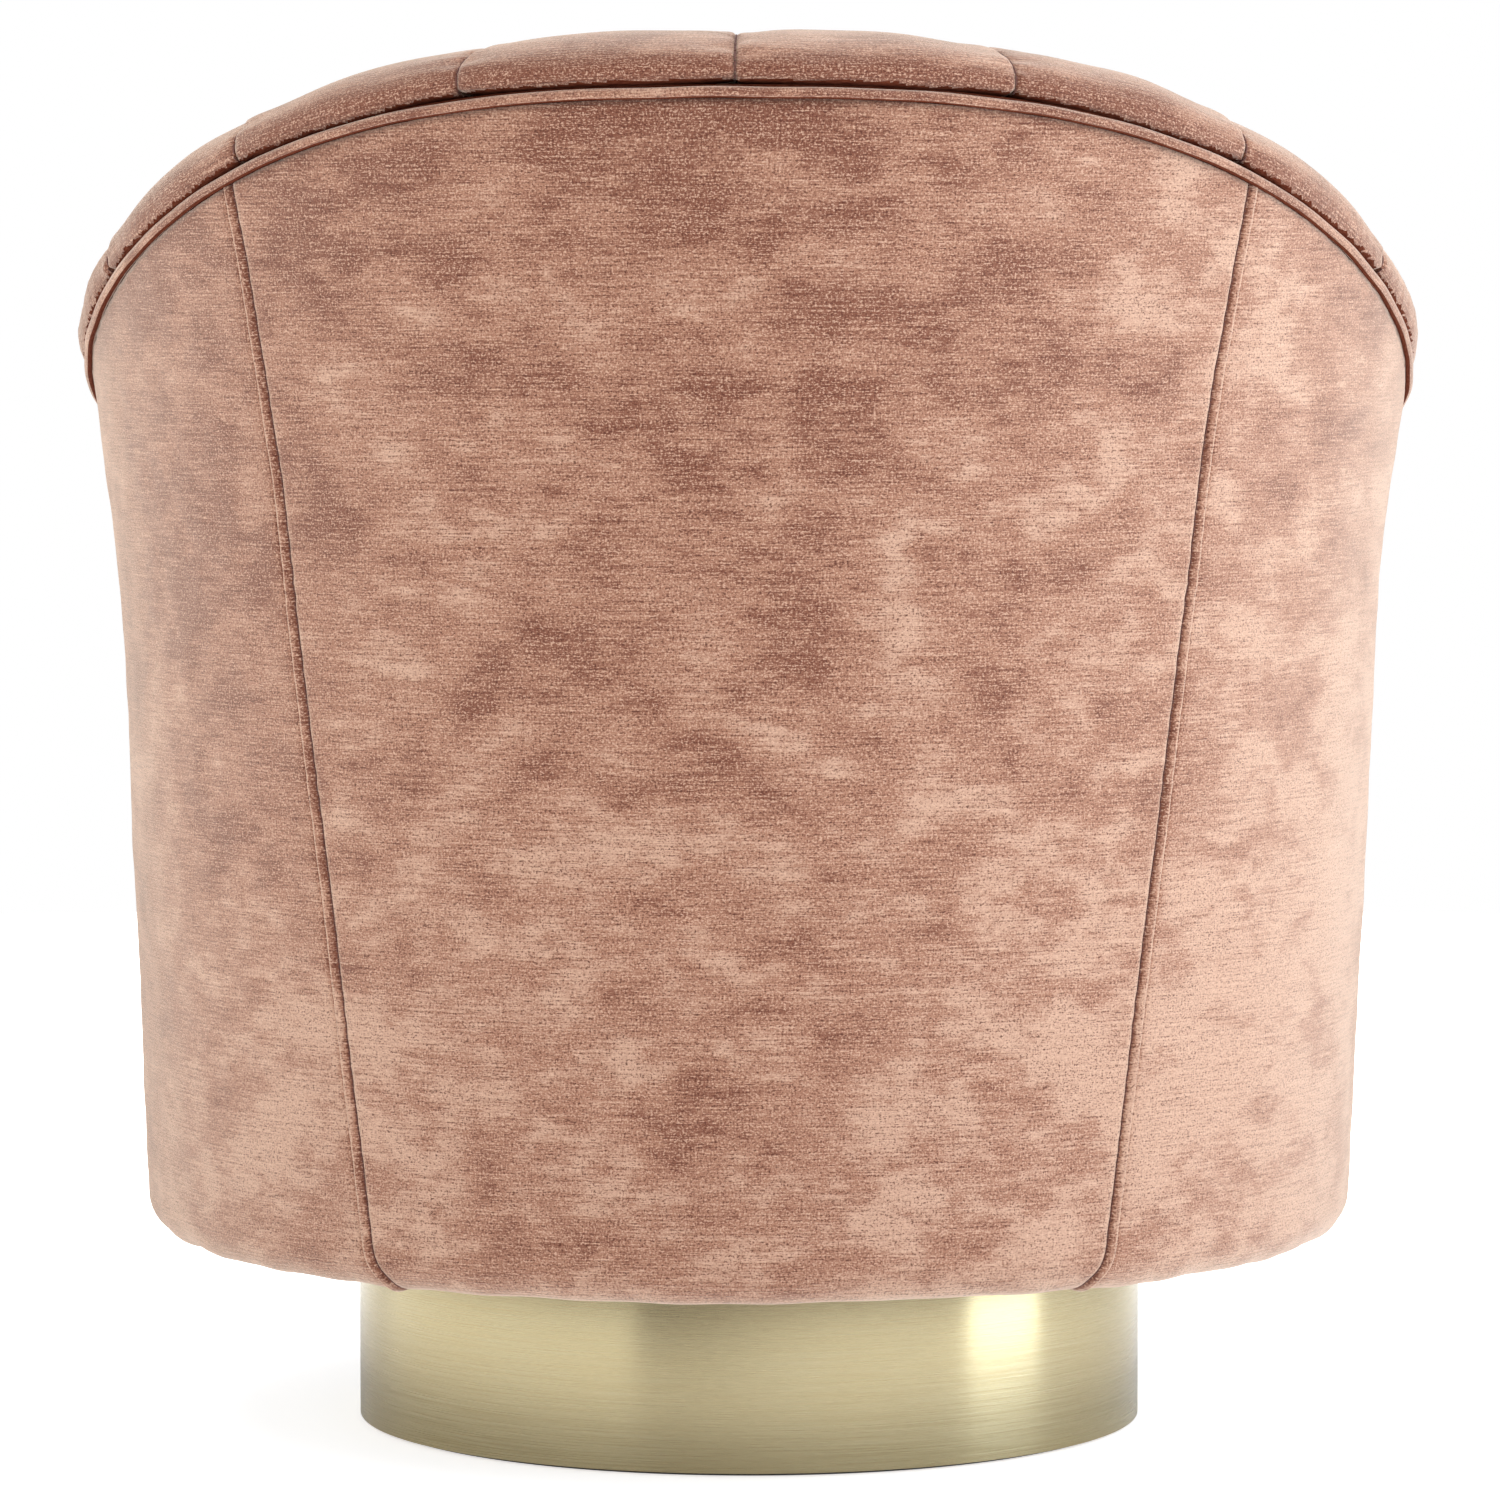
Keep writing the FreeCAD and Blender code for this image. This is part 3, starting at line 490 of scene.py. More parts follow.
def plated(name, base, roughness, speck, depth):
    """Metal with a fine speckle, for plated and polished fittings."""
    made = Finish(name, base, roughness, 1.0)
    solid = made.solid()
    cloudy = made.noise(solid, 60.0, 3.0, 0.6)
    fine = made.noise(solid, 900.0, 2.0, 0.7)
    made.tone(cloudy, 0.35, 0.7, base, speck)
    wear = made.sum((cloudy, 0.5), (fine, 0.5))
    made.set("Roughness", made.level(wear, 0.3, 0.7, roughness * 0.7, roughness * 1.4))
    made.bump(fine, depth, 0.5)
    return made.material


def powder_coat():
    made = Finish("powder_coat", colour(40, 40, 42), 0.48, Specular_IOR_Level=0.45)
    solid = made.solid()
    peel = made.noise(solid, 700.0, 2.0, 0.55)
    dust = made.noise(solid, 35.0, 4.0, 0.6)
    made.tone(dust, 0.45, 0.75, colour(38, 38, 40), colour(66, 65, 64))
    made.set("Roughness", made.level(dust, 0.35, 0.7, 0.42, 0.6))
    made.bump(peel, 0.00025, 0.6)
    return made.material


def spring_wire():
    made = Finish("spring_wire", colour(112, 112, 116), 0.4, 1.0)
    solid = made.solid()
    scale = made.noise(solid, 180.0, 4.0, 0.65)
    made.tone(scale, 0.4, 0.68, colour(106, 107, 112), colour(58, 53, 50))
    made.set("Roughness", made.level(scale, 0.35, 0.7, 0.3, 0.55))
    made.bump(scale, 0.0001, 0.5)
    return made.material


def nylon():
    made = Finish("nylon", colour(232, 229, 215), 0.42, Subsurface_Weight=0.1, Subsurface_Scale=0.004)
    cloudy = made.noise(made.solid(), 220.0, 3.0, 0.6)
    made.tone(cloudy, 0.35, 0.7, colour(234, 231, 219), colour(214, 208, 188))
    made.bump(cloudy, 0.0001, 0.4)
    return made.material


def fibre_board():
    made = Finish("fibre_board", colour(128, 92, 62), 0.8)
    solid = made.solid()
    fibres = made.noise(solid, 260.0, 5.0, 0.7)
    shade = made.noise(solid, 24.0, 3.0)
    tone = made.mix(made.level(fibres, 0.35, 0.68), colour(138, 100, 69), colour(92, 62, 40))
    made.set("Base Color", made.mix(made.level(shade, 0.4, 0.7, 0, 0.3), tone, colour(156, 118, 84)))
    made.bump(fibres, 0.0005, 0.6)
    return made.material


def woven(name, light, dark, pitch, sheen):
    """Plain weave of crossing threads with uneven shade."""
    made = Finish(name, light, 0.85, Sheen_Weight=sheen, Specular_IOR_Level=0.15)
    solid = made.solid()
    threads = [made.node("ShaderNodeTexWave", "Fac", {"Vector": solid, "Scale": 1 / pitch, "Distortion": 0.6,
                                                      "Detail": 1.0}, bands_direction=axis) for axis in "XY"]
    shade = made.noise(solid, 30.0, 4.0, 0.6)
    weave = made.times(*threads)
    made.set("Base Color", made.mix(made.sum((weave, 0.6), (shade, 0.4)), dark, light))
    made.bump(weave, 0.0004, 0.8)
    return made.material


def felt():
    made = Finish("pressed_felt", colour(58, 58, 60), 0.95, Sheen_Weight=0.4, Specular_IOR_Level=0.1)
    solid = made.solid()
    hairs = made.noise(solid, 420.0, 5.0, 0.8, 1.2)
    made.tone(hairs, 0.35, 0.68, colour(48, 48, 50), colour(94, 93, 92))
    made.bump(hairs, 0.0006, 0.9)
    return made.material


def foam():
    made = Finish("seat_foam", colour(238, 226, 190), 0.9, Specular_IOR_Level=0.1)
    cells = made.node("ShaderNodeTexVoronoi", "Distance", {"Vector": made.solid(), "Scale": 420.0})
    shade = made.noise(made.solid(), 12.0, 3.0)
    tone = made.mix(made.level(cells, 0.1, 0.6), colour(196, 178, 132), colour(242, 231, 198))
    made.set("Base Color", made.mix(made.level(shade, 0.4, 0.7, 0, 0.35), tone, colour(224, 206, 158)))
    made.bump(cells, 0.0008, 0.8)
    return made.material


VELVET = velvet()
VELVET_PAINTED_SHADE = make_velvet_painted_shade()
THREAD = stitch_thread()
FINISHES = {
    "velvet": VELVET,
    "brass_band": brass_band(),
    "plywood": wood("birch_plywood", colour(220, 190, 148), colour(168, 126, 84), True),
    "hardwood": wood("sawn_hardwood", colour(198, 160, 116), colour(140, 98, 62), False),
    "zinc": plated("bright_zinc", colour(198, 200, 202), 0.32, colour(162, 166, 172), 0.00008),
    "bearing_steel": plated("polished_steel", colour(214, 214, 216), 0.10, colour(190, 190, 194), 0.00001),
    "plate_steel": powder_coat(),
    "spring_steel": spring_wire(),
    "bush_plastic": nylon(),
    "hardboard": fibre_board(),
    "deck_cloth": woven("deck_weave", colour(226, 220, 204), colour(168, 160, 142), 0.0022, 0.2),
    "black_cambric": woven("black_cambric", colour(44, 44, 47), colour(16, 16, 18), 0.0016, 0.3),
    "felt": felt(),
    "foam": foam(),
}


def finish_frame():
    """Every carried-over piece of the frame takes the finish that its record names."""
    for part in frame["record"]["subparts"]:
        node = frame["nodes"][part["node"]]
        node.data.materials.clear()
        node.data.materials.append(FINISHES[part["material_slot"]])


def paint_joint_shade(piece, chosen):
    """Give the chosen faces the darker velvet copy: painted shade in joints and on undersides."""
    piece.data.materials.clear()
    piece.data.materials.append(VELVET)
    piece.data.materials.append(VELVET_PAINTED_SHADE)
    piece.data.polygons.foreach_set("material_index", np.asarray(chosen, int))


def fit(piece, body, slot, *nodes, material=None):
    """Give a finished piece its material, its body and the frame pieces that it stands for."""
    if material is not None or not piece.data.materials:
        piece.data.materials.clear()
        piece.data.materials.append(material or FINISHES[slot])
    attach(piece, body)
    if nodes:
        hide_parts(*nodes)
    return piece


# ---- What repeats or follows a line, made with geometry nodes ----
class Pattern:
    """A geometry node tree with named sizes, its path coming in and its pieces going out."""

    def __init__(self, name, sizes):
        self.tree = bpy.data.node_groups.new(name, "GeometryNodeTree")
        self.tree.is_modifier = True
        face = self.tree.interface
        face.new_socket(name="Path", in_out="INPUT", socket_type="NodeSocketGeometry")
        for size in sizes:
            face.new_socket(name=size, in_out="INPUT", socket_type="NodeSocketFloat")
        face.new_socket(name="Finish", in_out="INPUT", socket_type="NodeSocketMaterial")
        face.new_socket(name="Pieces", in_out="OUTPUT", socket_type="NodeSocketGeometry")
        self.given = self.tree.nodes.new("NodeGroupInput").outputs

    def node(self, kind, inputs, **settings):
        made = self.tree.nodes.new(kind)
        for name, value in settings.items():
            setattr(made, name, value)
        for key, value in inputs.items():
            if isinstance(value, bpy.types.NodeSocket):
                self.tree.links.new(value, made.inputs[key])
            else:
                made.inputs[key].default_value = value
        return made.outputs

    def close(self, pieces):
        """Realize what was instanced, give it its finish and send it out."""
        real = self.node("GeometryNodeRealizeInstances", {0: pieces})[0]
        done = self.node("GeometryNodeSetMaterial", {"Geometry": real, "Material": self.given["Finish"]})[0]
        self.tree.links.new(done, self.tree.nodes.new("NodeGroupOutput").inputs[0])
        return self.tree

    def named(self, attribute, kind):
        return self.node("GeometryNodeInputNamedAttribute", {"Name": attribute}, data_type=kind)[0]


def stitch_pattern():
    """Short arched threads at an even pitch along a path whose points know which way is out."""
    made = Pattern("stitch_row", ["Pitch", "Length", "Thread", "Rise"])
    given = made.given
    line = made.node("GeometryNodeMeshToCurve", {0: given["Path"]})[0]
    evenly = made.node("GeometryNodeResampleCurve", {"Curve": line, "Length": given["Pitch"]},
                       mode="LENGTH")[0]
    along = made.node("GeometryNodeInputTangent", {})[0]
    kept = made.node("GeometryNodeCaptureAttribute", {0: evenly})
    capture = kept[0].node
    capture.capture_items.new("VECTOR", "Along")
    made.tree.links.new(along, capture.inputs[1])
    dots = made.node("GeometryNodeCurveToPoints", {"Curve": capture.outputs[0]}, mode="EVALUATED")[0]
    turn = made.node("FunctionNodeAxesToRotation", {"Primary Axis": made.named("out", "FLOAT_VECTOR"),
                                                    "Secondary Axis": capture.outputs[1]},
                     primary_axis="Z", secondary_axis="X")[0]
    half = made.node("ShaderNodeMath", {0: given["Length"], 1: 0.5}, operation="MULTIPLY")[0]
    minus = made.node("ShaderNodeMath", {0: given["Length"], 1: -0.5}, operation="MULTIPLY")[0]
    ends = [made.node("ShaderNodeCombineXYZ", {"X": end})[0] for end in (minus, half)]
    top = made.node("ShaderNodeCombineXYZ", {"Z": given["Rise"]})[0]
    arch = made.node("GeometryNodeCurveQuadraticBezier",
                     {"Resolution": 4, "Start": ends[0], "Middle": top, "End": ends[1]})[0]
    ring = made.node("GeometryNodeCurvePrimitiveCircle", {"Resolution": 6, "Radius": given["Thread"]})[0]
    thread = made.node("GeometryNodeCurveToMesh",
                       {"Curve": arch, "Profile Curve": ring, "Fill Caps": True})[0]
    row = made.node("GeometryNodeInstanceOnPoints", {"Points": dots, "Instance": thread, "Rotation": turn})[0]
    return made.close(row)


def piping_pattern():
    """Round piping along a path, with a cloth map that runs along and round it."""
    made = Pattern("piping", ["Radius"])
    given = made.given
    line = made.node("GeometryNodeMeshToCurve", {0: given["Path"]})[0]
    run = made.node("GeometryNodeSplineParameter", {})["Length"]
    capture = made.node("GeometryNodeCaptureAttribute", {0: line})[0].node
    capture.capture_items.new("FLOAT", "Run")
    made.tree.links.new(run, capture.inputs[1])
    ring = made.node("GeometryNodeCurvePrimitiveCircle", {"Resolution": 14, "Radius": given["Radius"]})[0]
    round_run = made.node("GeometryNodeSplineParameter", {})["Length"]
    round_capture = made.node("GeometryNodeCaptureAttribute", {0: ring})[0].node
    round_capture.capture_items.new("FLOAT", "Round")
    made.tree.links.new(round_run, round_capture.inputs[1])
    tube = made.node("GeometryNodeCurveToMesh",
                     {"Curve": capture.outputs[0], "Profile Curve": round_capture.outputs[0],
                      "Fill Caps": True})[0]
    place_on = made.node("ShaderNodeCombineXYZ", {"X": capture.outputs[1], "Y": round_capture.outputs[1]})[0]
    mapped = made.node("GeometryNodeStoreNamedAttribute",
                       {"Geometry": tube, "Name": "cloth", "Value": place_on},
                       data_type="FLOAT2", domain="CORNER")[0]
    shaded = made.node("GeometryNodeSetShadeSmooth", {"Geometry": mapped})[0]
    return made.close(shaded)


STITCHES = stitch_pattern()
PIPING = piping_pattern()


def follow(name, tree, paths, sizes, finish, out=None, closed=False):
    """Run a pattern along one or more paths of points and keep the result as a plain mesh."""
    mesh = bpy.data.meshes.new(name + "_path")
    paths = [paths] if np.ndim(paths[0][0]) == 0 else paths
    links, count = [], 0
    for path in paths:
        links += [(count + index, count + index + 1) for index in range(len(path) - 1)]
        if closed:
            links.append((count + len(path) - 1, count))
        count += len(path)
    mesh.from_pydata([tuple(point) for path in paths for point in path], links, [])
    if out is not None:
        mesh.attributes.new("out", "FLOAT_VECTOR", "POINT").data.foreach_set("vector", np.ravel(out))
    piece = bpy.data.objects.new(name, mesh)
    bpy.context.scene.collection.objects.link(piece)
    modifier = piece.modifiers.new("pattern", "NODES")
    modifier.node_group = tree
    for item in tree.interface.items_tree:
        if item.in_out == "INPUT" and item.name in sizes:
            modifier[item.identifier] = sizes[item.name]
        if item.in_out == "INPUT" and item.name == "Finish":
            modifier[item.identifier] = finish
    return settle(piece)


# ---- Outer cover ----
SEAM_HOOK = 0.8             # degrees that a seam bends in at the hem
FOLD = 0.0052               # width of the felled band
WALL_ROWS = 150
COVER_ROWS = ([("turn", share) for share in np.linspace(0, 1, 4)[:-1]]
              + [("round", share) for share in np.linspace(0, 1, 10)[:-1]]
              + [("wall", share) for share in np.linspace(0, 1, WALL_ROWS)])


def cover_at(row, angle, top):
    """Radius and height of the cover on one row of the grid."""
    kind, share = row
    low = HEM_HEIGHT + HEM_ROUND
    middle = shell_radius(angle, low) - HEM_ROUND
    if kind == "turn":
        inner = HEM_RADIUS - HEM_TURN
        return inner + share * (middle - inner), HEM_HEIGHT + 0 * angle
    if kind == "round":
        turn = share * math.pi / 2
        return middle + HEM_ROUND * math.sin(turn), low - HEM_ROUND * math.cos(turn) + 0 * angle
    height = low + share * (top(angle) - low)
    return shell_radius(angle, height), height


def under_welt(angle):
    return rim(angle) - WELT_RADIUS - 0.0002


def seam_angle(row):
    """Where the panel seam crosses a row."""
    angle = SEAM_HIGH_ANGLE
    for _ in range(12):
        height = float(cover_at(row, angle, under_welt)[1])
        angle = SEAM_LOW_ANGLE + (SEAM_HIGH_ANGLE - SEAM_LOW_ANGLE) * (height - HEM_HEIGHT) / SEAM_RISE
    return angle - SEAM_HOOK * float(1 - smooth(height, HEM_HEIGHT, HEM_HEIGHT + HEM_ROUND))


# Distance from the stitch line, how far the cloth stands out there, and the nap value there: painted shade in
# the seam's groove (positive) and a painted highlight on the crest of the felled fold (negative)
BACK_SEAM = [(-0.010, 0.0, 0.0), (-0.007, 0.0, 0.0), (-0.005, -0.00005, 0.0), (-0.0035, -0.00015, 0.0),
             (-0.0022, -0.0003, -0.3), (-0.0012, -0.0006, -0.2), (-0.0005, -0.0011, 0.6), (0.0, -0.0016, 1.2),
             (0.0005, -0.0006, 0.9), (0.0012, 0.0005, 0.4), (0.0022, 0.0010, 0.25), (0.0034, 0.0013, 0.1),
             (0.0041, 0.0016, -0.9), (0.0047, 0.0014, -1.4), (FOLD, 0.0004, -0.9),
             (FOLD + 0.0001, -0.0010, 0.5)]
SIDE_SEAM = [(0.0008, -0.0022, 0.0), (0.002, -0.0018, 0.0), (0.0035, -0.0015, 0.0), (0.0046, -0.0013, 0.4),
             (FOLD + 0.0001, -0.0011, 0.8), (0.006, -0.0006, 0.4), (0.0075, -0.0002, 0.1), (0.010, 0.0, 0.0)]
FRONT_EDGE = [(0.0, -0.0042), (0.0004, -0.0026), (0.0012, -0.0013), (0.0025, -0.0005), (0.004, -0.0001),
              (0.006, 0.0)]


def skin(rows, columns, top, seed, pucker_line=None):
    """Grid of a cover: columns gives the angles and lifts of each row.

    Returns the points, the cloth map, the normals and the nap, which carries painted shade under the welt and
    the painted paler side."""
    points, cloth, lifts, heights, tops, sides = [], [], [], [], [], []
    for row in rows:
        angles, lift = columns(row)
        radius, height = cover_at(row, angles, top)
        points.append(place(angles, radius, height))
        lifts.append(lift)
        heights.append(height)
        tops.append(top(angles) - height)
        sides.append(painted_pale_side(angles))
        under = (HEM_RADIUS - radius) if row[0] == "turn" else 0
        cloth.append(np.stack([np.radians(angles) * HEM_RADIUS, height - under], axis=-1))
    points, cloth, lifts = np.array(points), np.array(cloth), np.array(lifts)
    heights, tops = np.array(heights), np.array(tops)
    underneath = (heights < HEM_HEIGHT + 0.004)[..., None]
    normals = facing_out(points, points * (1, 1, 0) - (0, 0, 0.12) * underneath)
    across, along = cloth[..., 0], cloth[..., 1]
    near_top = np.exp(-np.maximum(tops, 0) / 0.007)
    lifts = (lifts + 0.00045 * unevenness(across, along, 0.13, seed)
             + 0.00016 * unevenness(across, along, 0.035, seed + 1))
    lifts = lifts - 0.0006 * near_top + 0.00028 * near_top * ripple(across, 0.013, seed + 2)
    near_hem = np.exp(-np.maximum(heights - HEM_HEIGHT, 0) / 0.02)
    lifts = lifts + 0.0005 * near_hem * ripple(across, 0.045, seed + 3)
    if pucker_line is not None:
        closeness = np.exp(-np.abs(pucker_line(cloth)) / 0.007)
        lifts = lifts + 0.00022 * closeness * ripple(along, 0.011, seed + 4)
    # Darker patches within a few centimetres below the welt: partly the pile's own patches, and partly
    # painted shade under the welt. Then sides adds the painted paler side towards softbox_right.
    brushed = np.clip(unevenness(across, along, 0.11, seed + 5), 0, 1)
    nap_and_painted_light = 0.55 * np.exp(-np.maximum(tops, 0) / 0.035) * brushed
    nap_and_painted_light = nap_and_painted_light + np.array(sides)
    return points + normals * lifts[..., None], cloth, normals, nap_and_painted_light


def sheet_area(points):
    """Area of a grid of points."""
    along = points[1:, :-1] - points[:-1, :-1]
    across = points[:-1, 1:] - points[:-1, :-1]
    return float(np.linalg.norm(np.cross(along, across), axis=-1).sum())


def cut_size(points):
    """Width and length of the cloth that a grid was cut from."""
    wide = np.linalg.norm(np.diff(points, axis=1), axis=-1).sum(1).max()
    long = np.linalg.norm(np.diff(points, axis=0), axis=-1).sum(0).max()
    return float(wide), float(long)


def make_cover(name, node, points, cloth, nap_and_painted_light):
    faces = grid_faces(points.shape[0], points.shape[1])
    piece = new_piece(name, points, faces, cloth)
    mesh = piece.data
    middle = mesh.polygons[len(mesh.polygons) // 2]
    if middle.normal.x * middle.center.x + middle.normal.y * middle.center.y < 0:
        mesh.flip_normals()
    lay_nap_and_painted_light(piece, nap_and_painted_light.ravel())
    thicken(piece, 0.0034)
    fit(piece, "seat", "velvet", node)
    cut_size(points)
    min(sheet_area(points), math.prod(cut_size(points)))
    return piece


def cover_back():
    offsets, edge_lifts, seam_painted_light = np.array(BACK_SEAM).T

    def columns(row):
        seam = seam_angle(row)
        radius = float(cover_at(row, seam, under_welt)[0])
        edge = seam + np.degrees(offsets / radius)
        inner = np.linspace(-edge[0], edge[0], 116)[1:-1]
        return (np.concatenate([-edge[::-1], inner, edge]),
                np.concatenate([edge_lifts[::-1], 0 * inner, edge_lifts]))
    seams = np.radians([seam_angle(row) for row in COVER_ROWS])[:, None] * HEM_RADIUS
    points, cloth, normals, nap_and_painted_light = skin(COVER_ROWS, columns, under_welt, 11,
                                       lambda cloth: np.abs(cloth[..., 0]) - seams)
    nap_and_painted_light[:, :len(offsets)] += seam_painted_light[::-1]
    nap_and_painted_light[:, -len(offsets):] += seam_painted_light
    make_cover("cover_back", "outer_panel_back", points, cloth, nap_and_painted_light)
    line = offsets.tolist().index(0.0)
    for side, column in (("left", len(offsets) - 1 - line), ("right", points.shape[1] - len(offsets) + line)):
        path = points[2:, column] + normals[2:, column] * STITCH_LIFT
        row = follow(f"seam_stitches_{side}", STITCHES, path,
                     {"Pitch": 0.0029, "Length": 0.0021, "Thread": 0.00034, "Rise": 0.0007},
                     THREAD, out=normals[2:, column])
        fit(row, "seat", "velvet", material=THREAD)


def cover_side(name, node, side, seed):
    offsets, edge_lifts, seam_painted_light = np.array(SIDE_SEAM).T
    front_offsets, front_lifts = np.array(FRONT_EDGE[::-1]).T

    def columns(row):
        seam = seam_angle(row)
        edge = seam + np.degrees(offsets / float(cover_at(row, seam, under_welt)[0]))
        front = PAD_END - np.degrees(front_offsets / float(cover_at(row, PAD_END, under_welt)[0]))
        inner = np.linspace(edge[-1], front[0], 118)[1:-1]
        return (side * np.concatenate([edge, inner, front]),
                np.concatenate([edge_lifts, 0 * inner, front_lifts]))
    seams = np.radians([seam_angle(row) for row in COVER_ROWS])[:, None] * HEM_RADIUS
    points, cloth, _, nap_and_painted_light = skin(COVER_ROWS, columns, under_welt, seed,
                                 lambda cloth: np.abs(cloth[..., 0]) - seams)
    nap_and_painted_light[:, :len(offsets)] += seam_painted_light
    make_cover(name, node, points, cloth, nap_and_painted_light)


FRONT_ROUND = 0.015
FRONT_TURN = 0.045


def cover_front():
    """Front panel: up from the hem, rounded over the front rail and turned in under the cushion."""
    half = 180 - PAD_END - 0.06
    offsets, edge_lifts = np.array(FRONT_EDGE).T
    top = FRONT_TOP - FRONT_ROUND

    def columns(_):
        edge = half - np.degrees(offsets / HEM_RADIUS)
        inner = np.linspace(-edge[-1], edge[-1], 104)[1:-1]
        return (180 + np.concatenate([-edge, inner, edge[::-1]]),
                np.concatenate([edge_lifts, 0 * inner, edge_lifts[::-1]]))
    rows = [row for row in COVER_ROWS if row[0] != "wall"]
    rows += [("wall", share) for share in np.linspace(0, 1, 48)]
    points, cloth, _, _ = skin(rows, columns, lambda angle: top + 0 * angle, 51)
    angles, lift = columns(rows[-1])
    radius = shell_radius(angles, top) - FRONT_ROUND
    over, over_cloth = [], []
    for turn in np.radians(np.linspace(0, 90, 9)[1:]):
        over.append(place(angles, radius + (FRONT_ROUND + lift) * math.cos(turn),
                          top + (FRONT_ROUND + lift) * math.sin(turn)))
        over_cloth.append(cloth[-1] + (0, FRONT_ROUND * turn))
    for inward in np.linspace(0, FRONT_TURN - FRONT_ROUND, 8)[1:]:
        over.append(place(angles, radius - inward, FRONT_TOP + lift))
        over_cloth.append(over_cloth[7] + (0, inward))
    points = np.concatenate([points, np.array(over)])
    cloth = np.concatenate([cloth, np.array(over_cloth)])
    make_cover("cover_front", "front_panel", points, cloth, 0 * cloth[..., 0])


def welt_line(height_offset=0.0):
    angles = np.linspace(-PAD_END, PAD_END, 620)
    along = np.radians(angles) * HEM_RADIUS
    radius = shell_radius(angles, rim(angles)) + WELT_OUT + 0.00022 * ripple(along, 0.05, 71)
    return place(angles, radius, rim(angles) + height_offset + 0.0002 * ripple(along, 0.06, 72))


def inward_of_welt(points):
    angle, radius, _ = unwrap(points)
    return radius < shell_radius(angle, rim(angle)) + WELT_OUT


def make_welt():
    piece = follow("rim_welt", PIPING, welt_line(), {"Radius": WELT_RADIUS}, VELVET)
    middles, normals = faces_of(piece)
    # Painted shade: the welt's downward faces and the top faces tucked behind it take the darker velvet copy.
    paint_joint_shade(piece, (normals[:, 2] < -0.85) | ((normals[:, 2] > 0.5) & inward_of_welt(middles)))
    fit(piece, "seat", "velvet", "welt")


FLANGE_IN = 0.0030          # behind the cover's outside
FLANGE_DOWN = 0.0035        # below and above the middle of the welt
FLANGE_UP = 0.0042
FLANGE_WALL = 0.0008


def make_flange():
    """The flange of the welt, which stands behind it and closes the joint up to the roll."""
    angles = np.linspace(-PAD_END, PAD_END, 400)
    radius = shell_radius(angles, rim(angles)) - FLANGE_IN
    low, high, back = rim(angles) - FLANGE_DOWN, rim(angles) + FLANGE_UP, radius - FLANGE_WALL
    corners = [(radius, low), (radius, high), (back, high), (back, low)]
    points = np.stack([place(angles, r, z) for r, z in corners], axis=1)
    faces = grid_faces(len(angles), 4, close_columns=True)
    last = 4 * (len(angles) - 1)
    faces += [(0, 1, 2, 3), (last, last + 1, last + 2, last + 3)]
    along = np.radians(angles) * HEM_RADIUS
    wrapped = np.tile((0.0, 0.008, 0.009, 0.017), (len(angles), 1))
    cloth = np.stack([np.repeat(along[:, None], 4, 1), wrapped], axis=-1)
    strip = turn_out(new_piece("welt_flange", points, faces, cloth))
    # Painted shade: the whole flange takes the darker velvet copy, so the joint behind the welt looks shaded.
    paint_joint_shade(strip, np.ones(len(strip.data.polygons)))
    fit(strip, "seat", "velvet")
    length = float(np.linalg.norm(np.diff(points[:, 0], axis=0), axis=1).sum())


# ---- Pads: channels and arm fronts ----
ROLL_HALF = (WALL_DEPTH + ROLL_OVERHANG) / 2
ROLL_BELLY = 0.011          # height of the roll's widest line above its underside
ROLL_TUCK = 0.0065          # how far the roll draws in from there to the welt
EDGE_ROUND = 0.009
VOXEL = 0.004


def swell(angle):
    """How much fuller the roll is where it comes round the shoulders."""
    turn = np.abs(angle)
    return 0.0052 * smooth(turn, 28, 58) * (1 - smooth(turn, 82, 108))


def pad_section(angle, back, low):
    """Closed section of a pad as (radius, height), with each corner's share of crown and edge round."""
    base = float(rim(angle)) + ROLL_LOW
    full = float(swell(angle))
    middle = float(shell_radius(angle, base)) + ROLL_OVERHANG + 0.6 * full - ROLL_HALF
    belly = base + ROLL_BELLY
    tuck = np.linspace(0, math.pi / 2, 6)[:-1]
    under = [(middle + ROLL_HALF - ROLL_TUCK * (1 - math.sin(turn)), belly - ROLL_BELLY * math.cos(turn))
             for turn in tuck]
    arch = [(middle + ROLL_HALF * math.cos(turn), belly + (ROLL_RISE + full - ROLL_BELLY) * math.sin(turn))
            for turn in np.linspace(0, math.pi, 21)]
    inside = [(float(shell_radius(angle, z)) - WALL_DEPTH, z) for z in np.linspace(belly, low, 18)[1:]]
    behind = [(float(shell_radius(angle, z)) - back, z) for z in np.linspace(low, base, 16)]
    crowns = [0.22] * (len(under) + len(arch)) + [1.0] * len(inside) + [0.0] * len(behind)
    rounds = [0.0] * len(under) + [0.15] * len(arch) + [1.0] * len(inside) + [0.1] * len(behind)
    return np.array(under + arch + inside + behind), np.array(crowns), np.array(rounds)


def inset(section, amount):
    """Move the corners of a closed section inwards, each by its own amount."""
    before = section - np.roll(section, 1, axis=0)
    after = np.roll(section, -1, axis=0) - section
    before /= np.maximum(np.linalg.norm(before, axis=1, keepdims=True), 1e-9)
    after /= np.maximum(np.linalg.norm(after, axis=1, keepdims=True), 1e-9)
    along = before + after
    along /= np.maximum(np.linalg.norm(along, axis=1, keepdims=True), 1e-9)
    inward = np.stack([-along[:, 1], along[:, 0]], axis=1)
    return section + inward * amount[:, None]


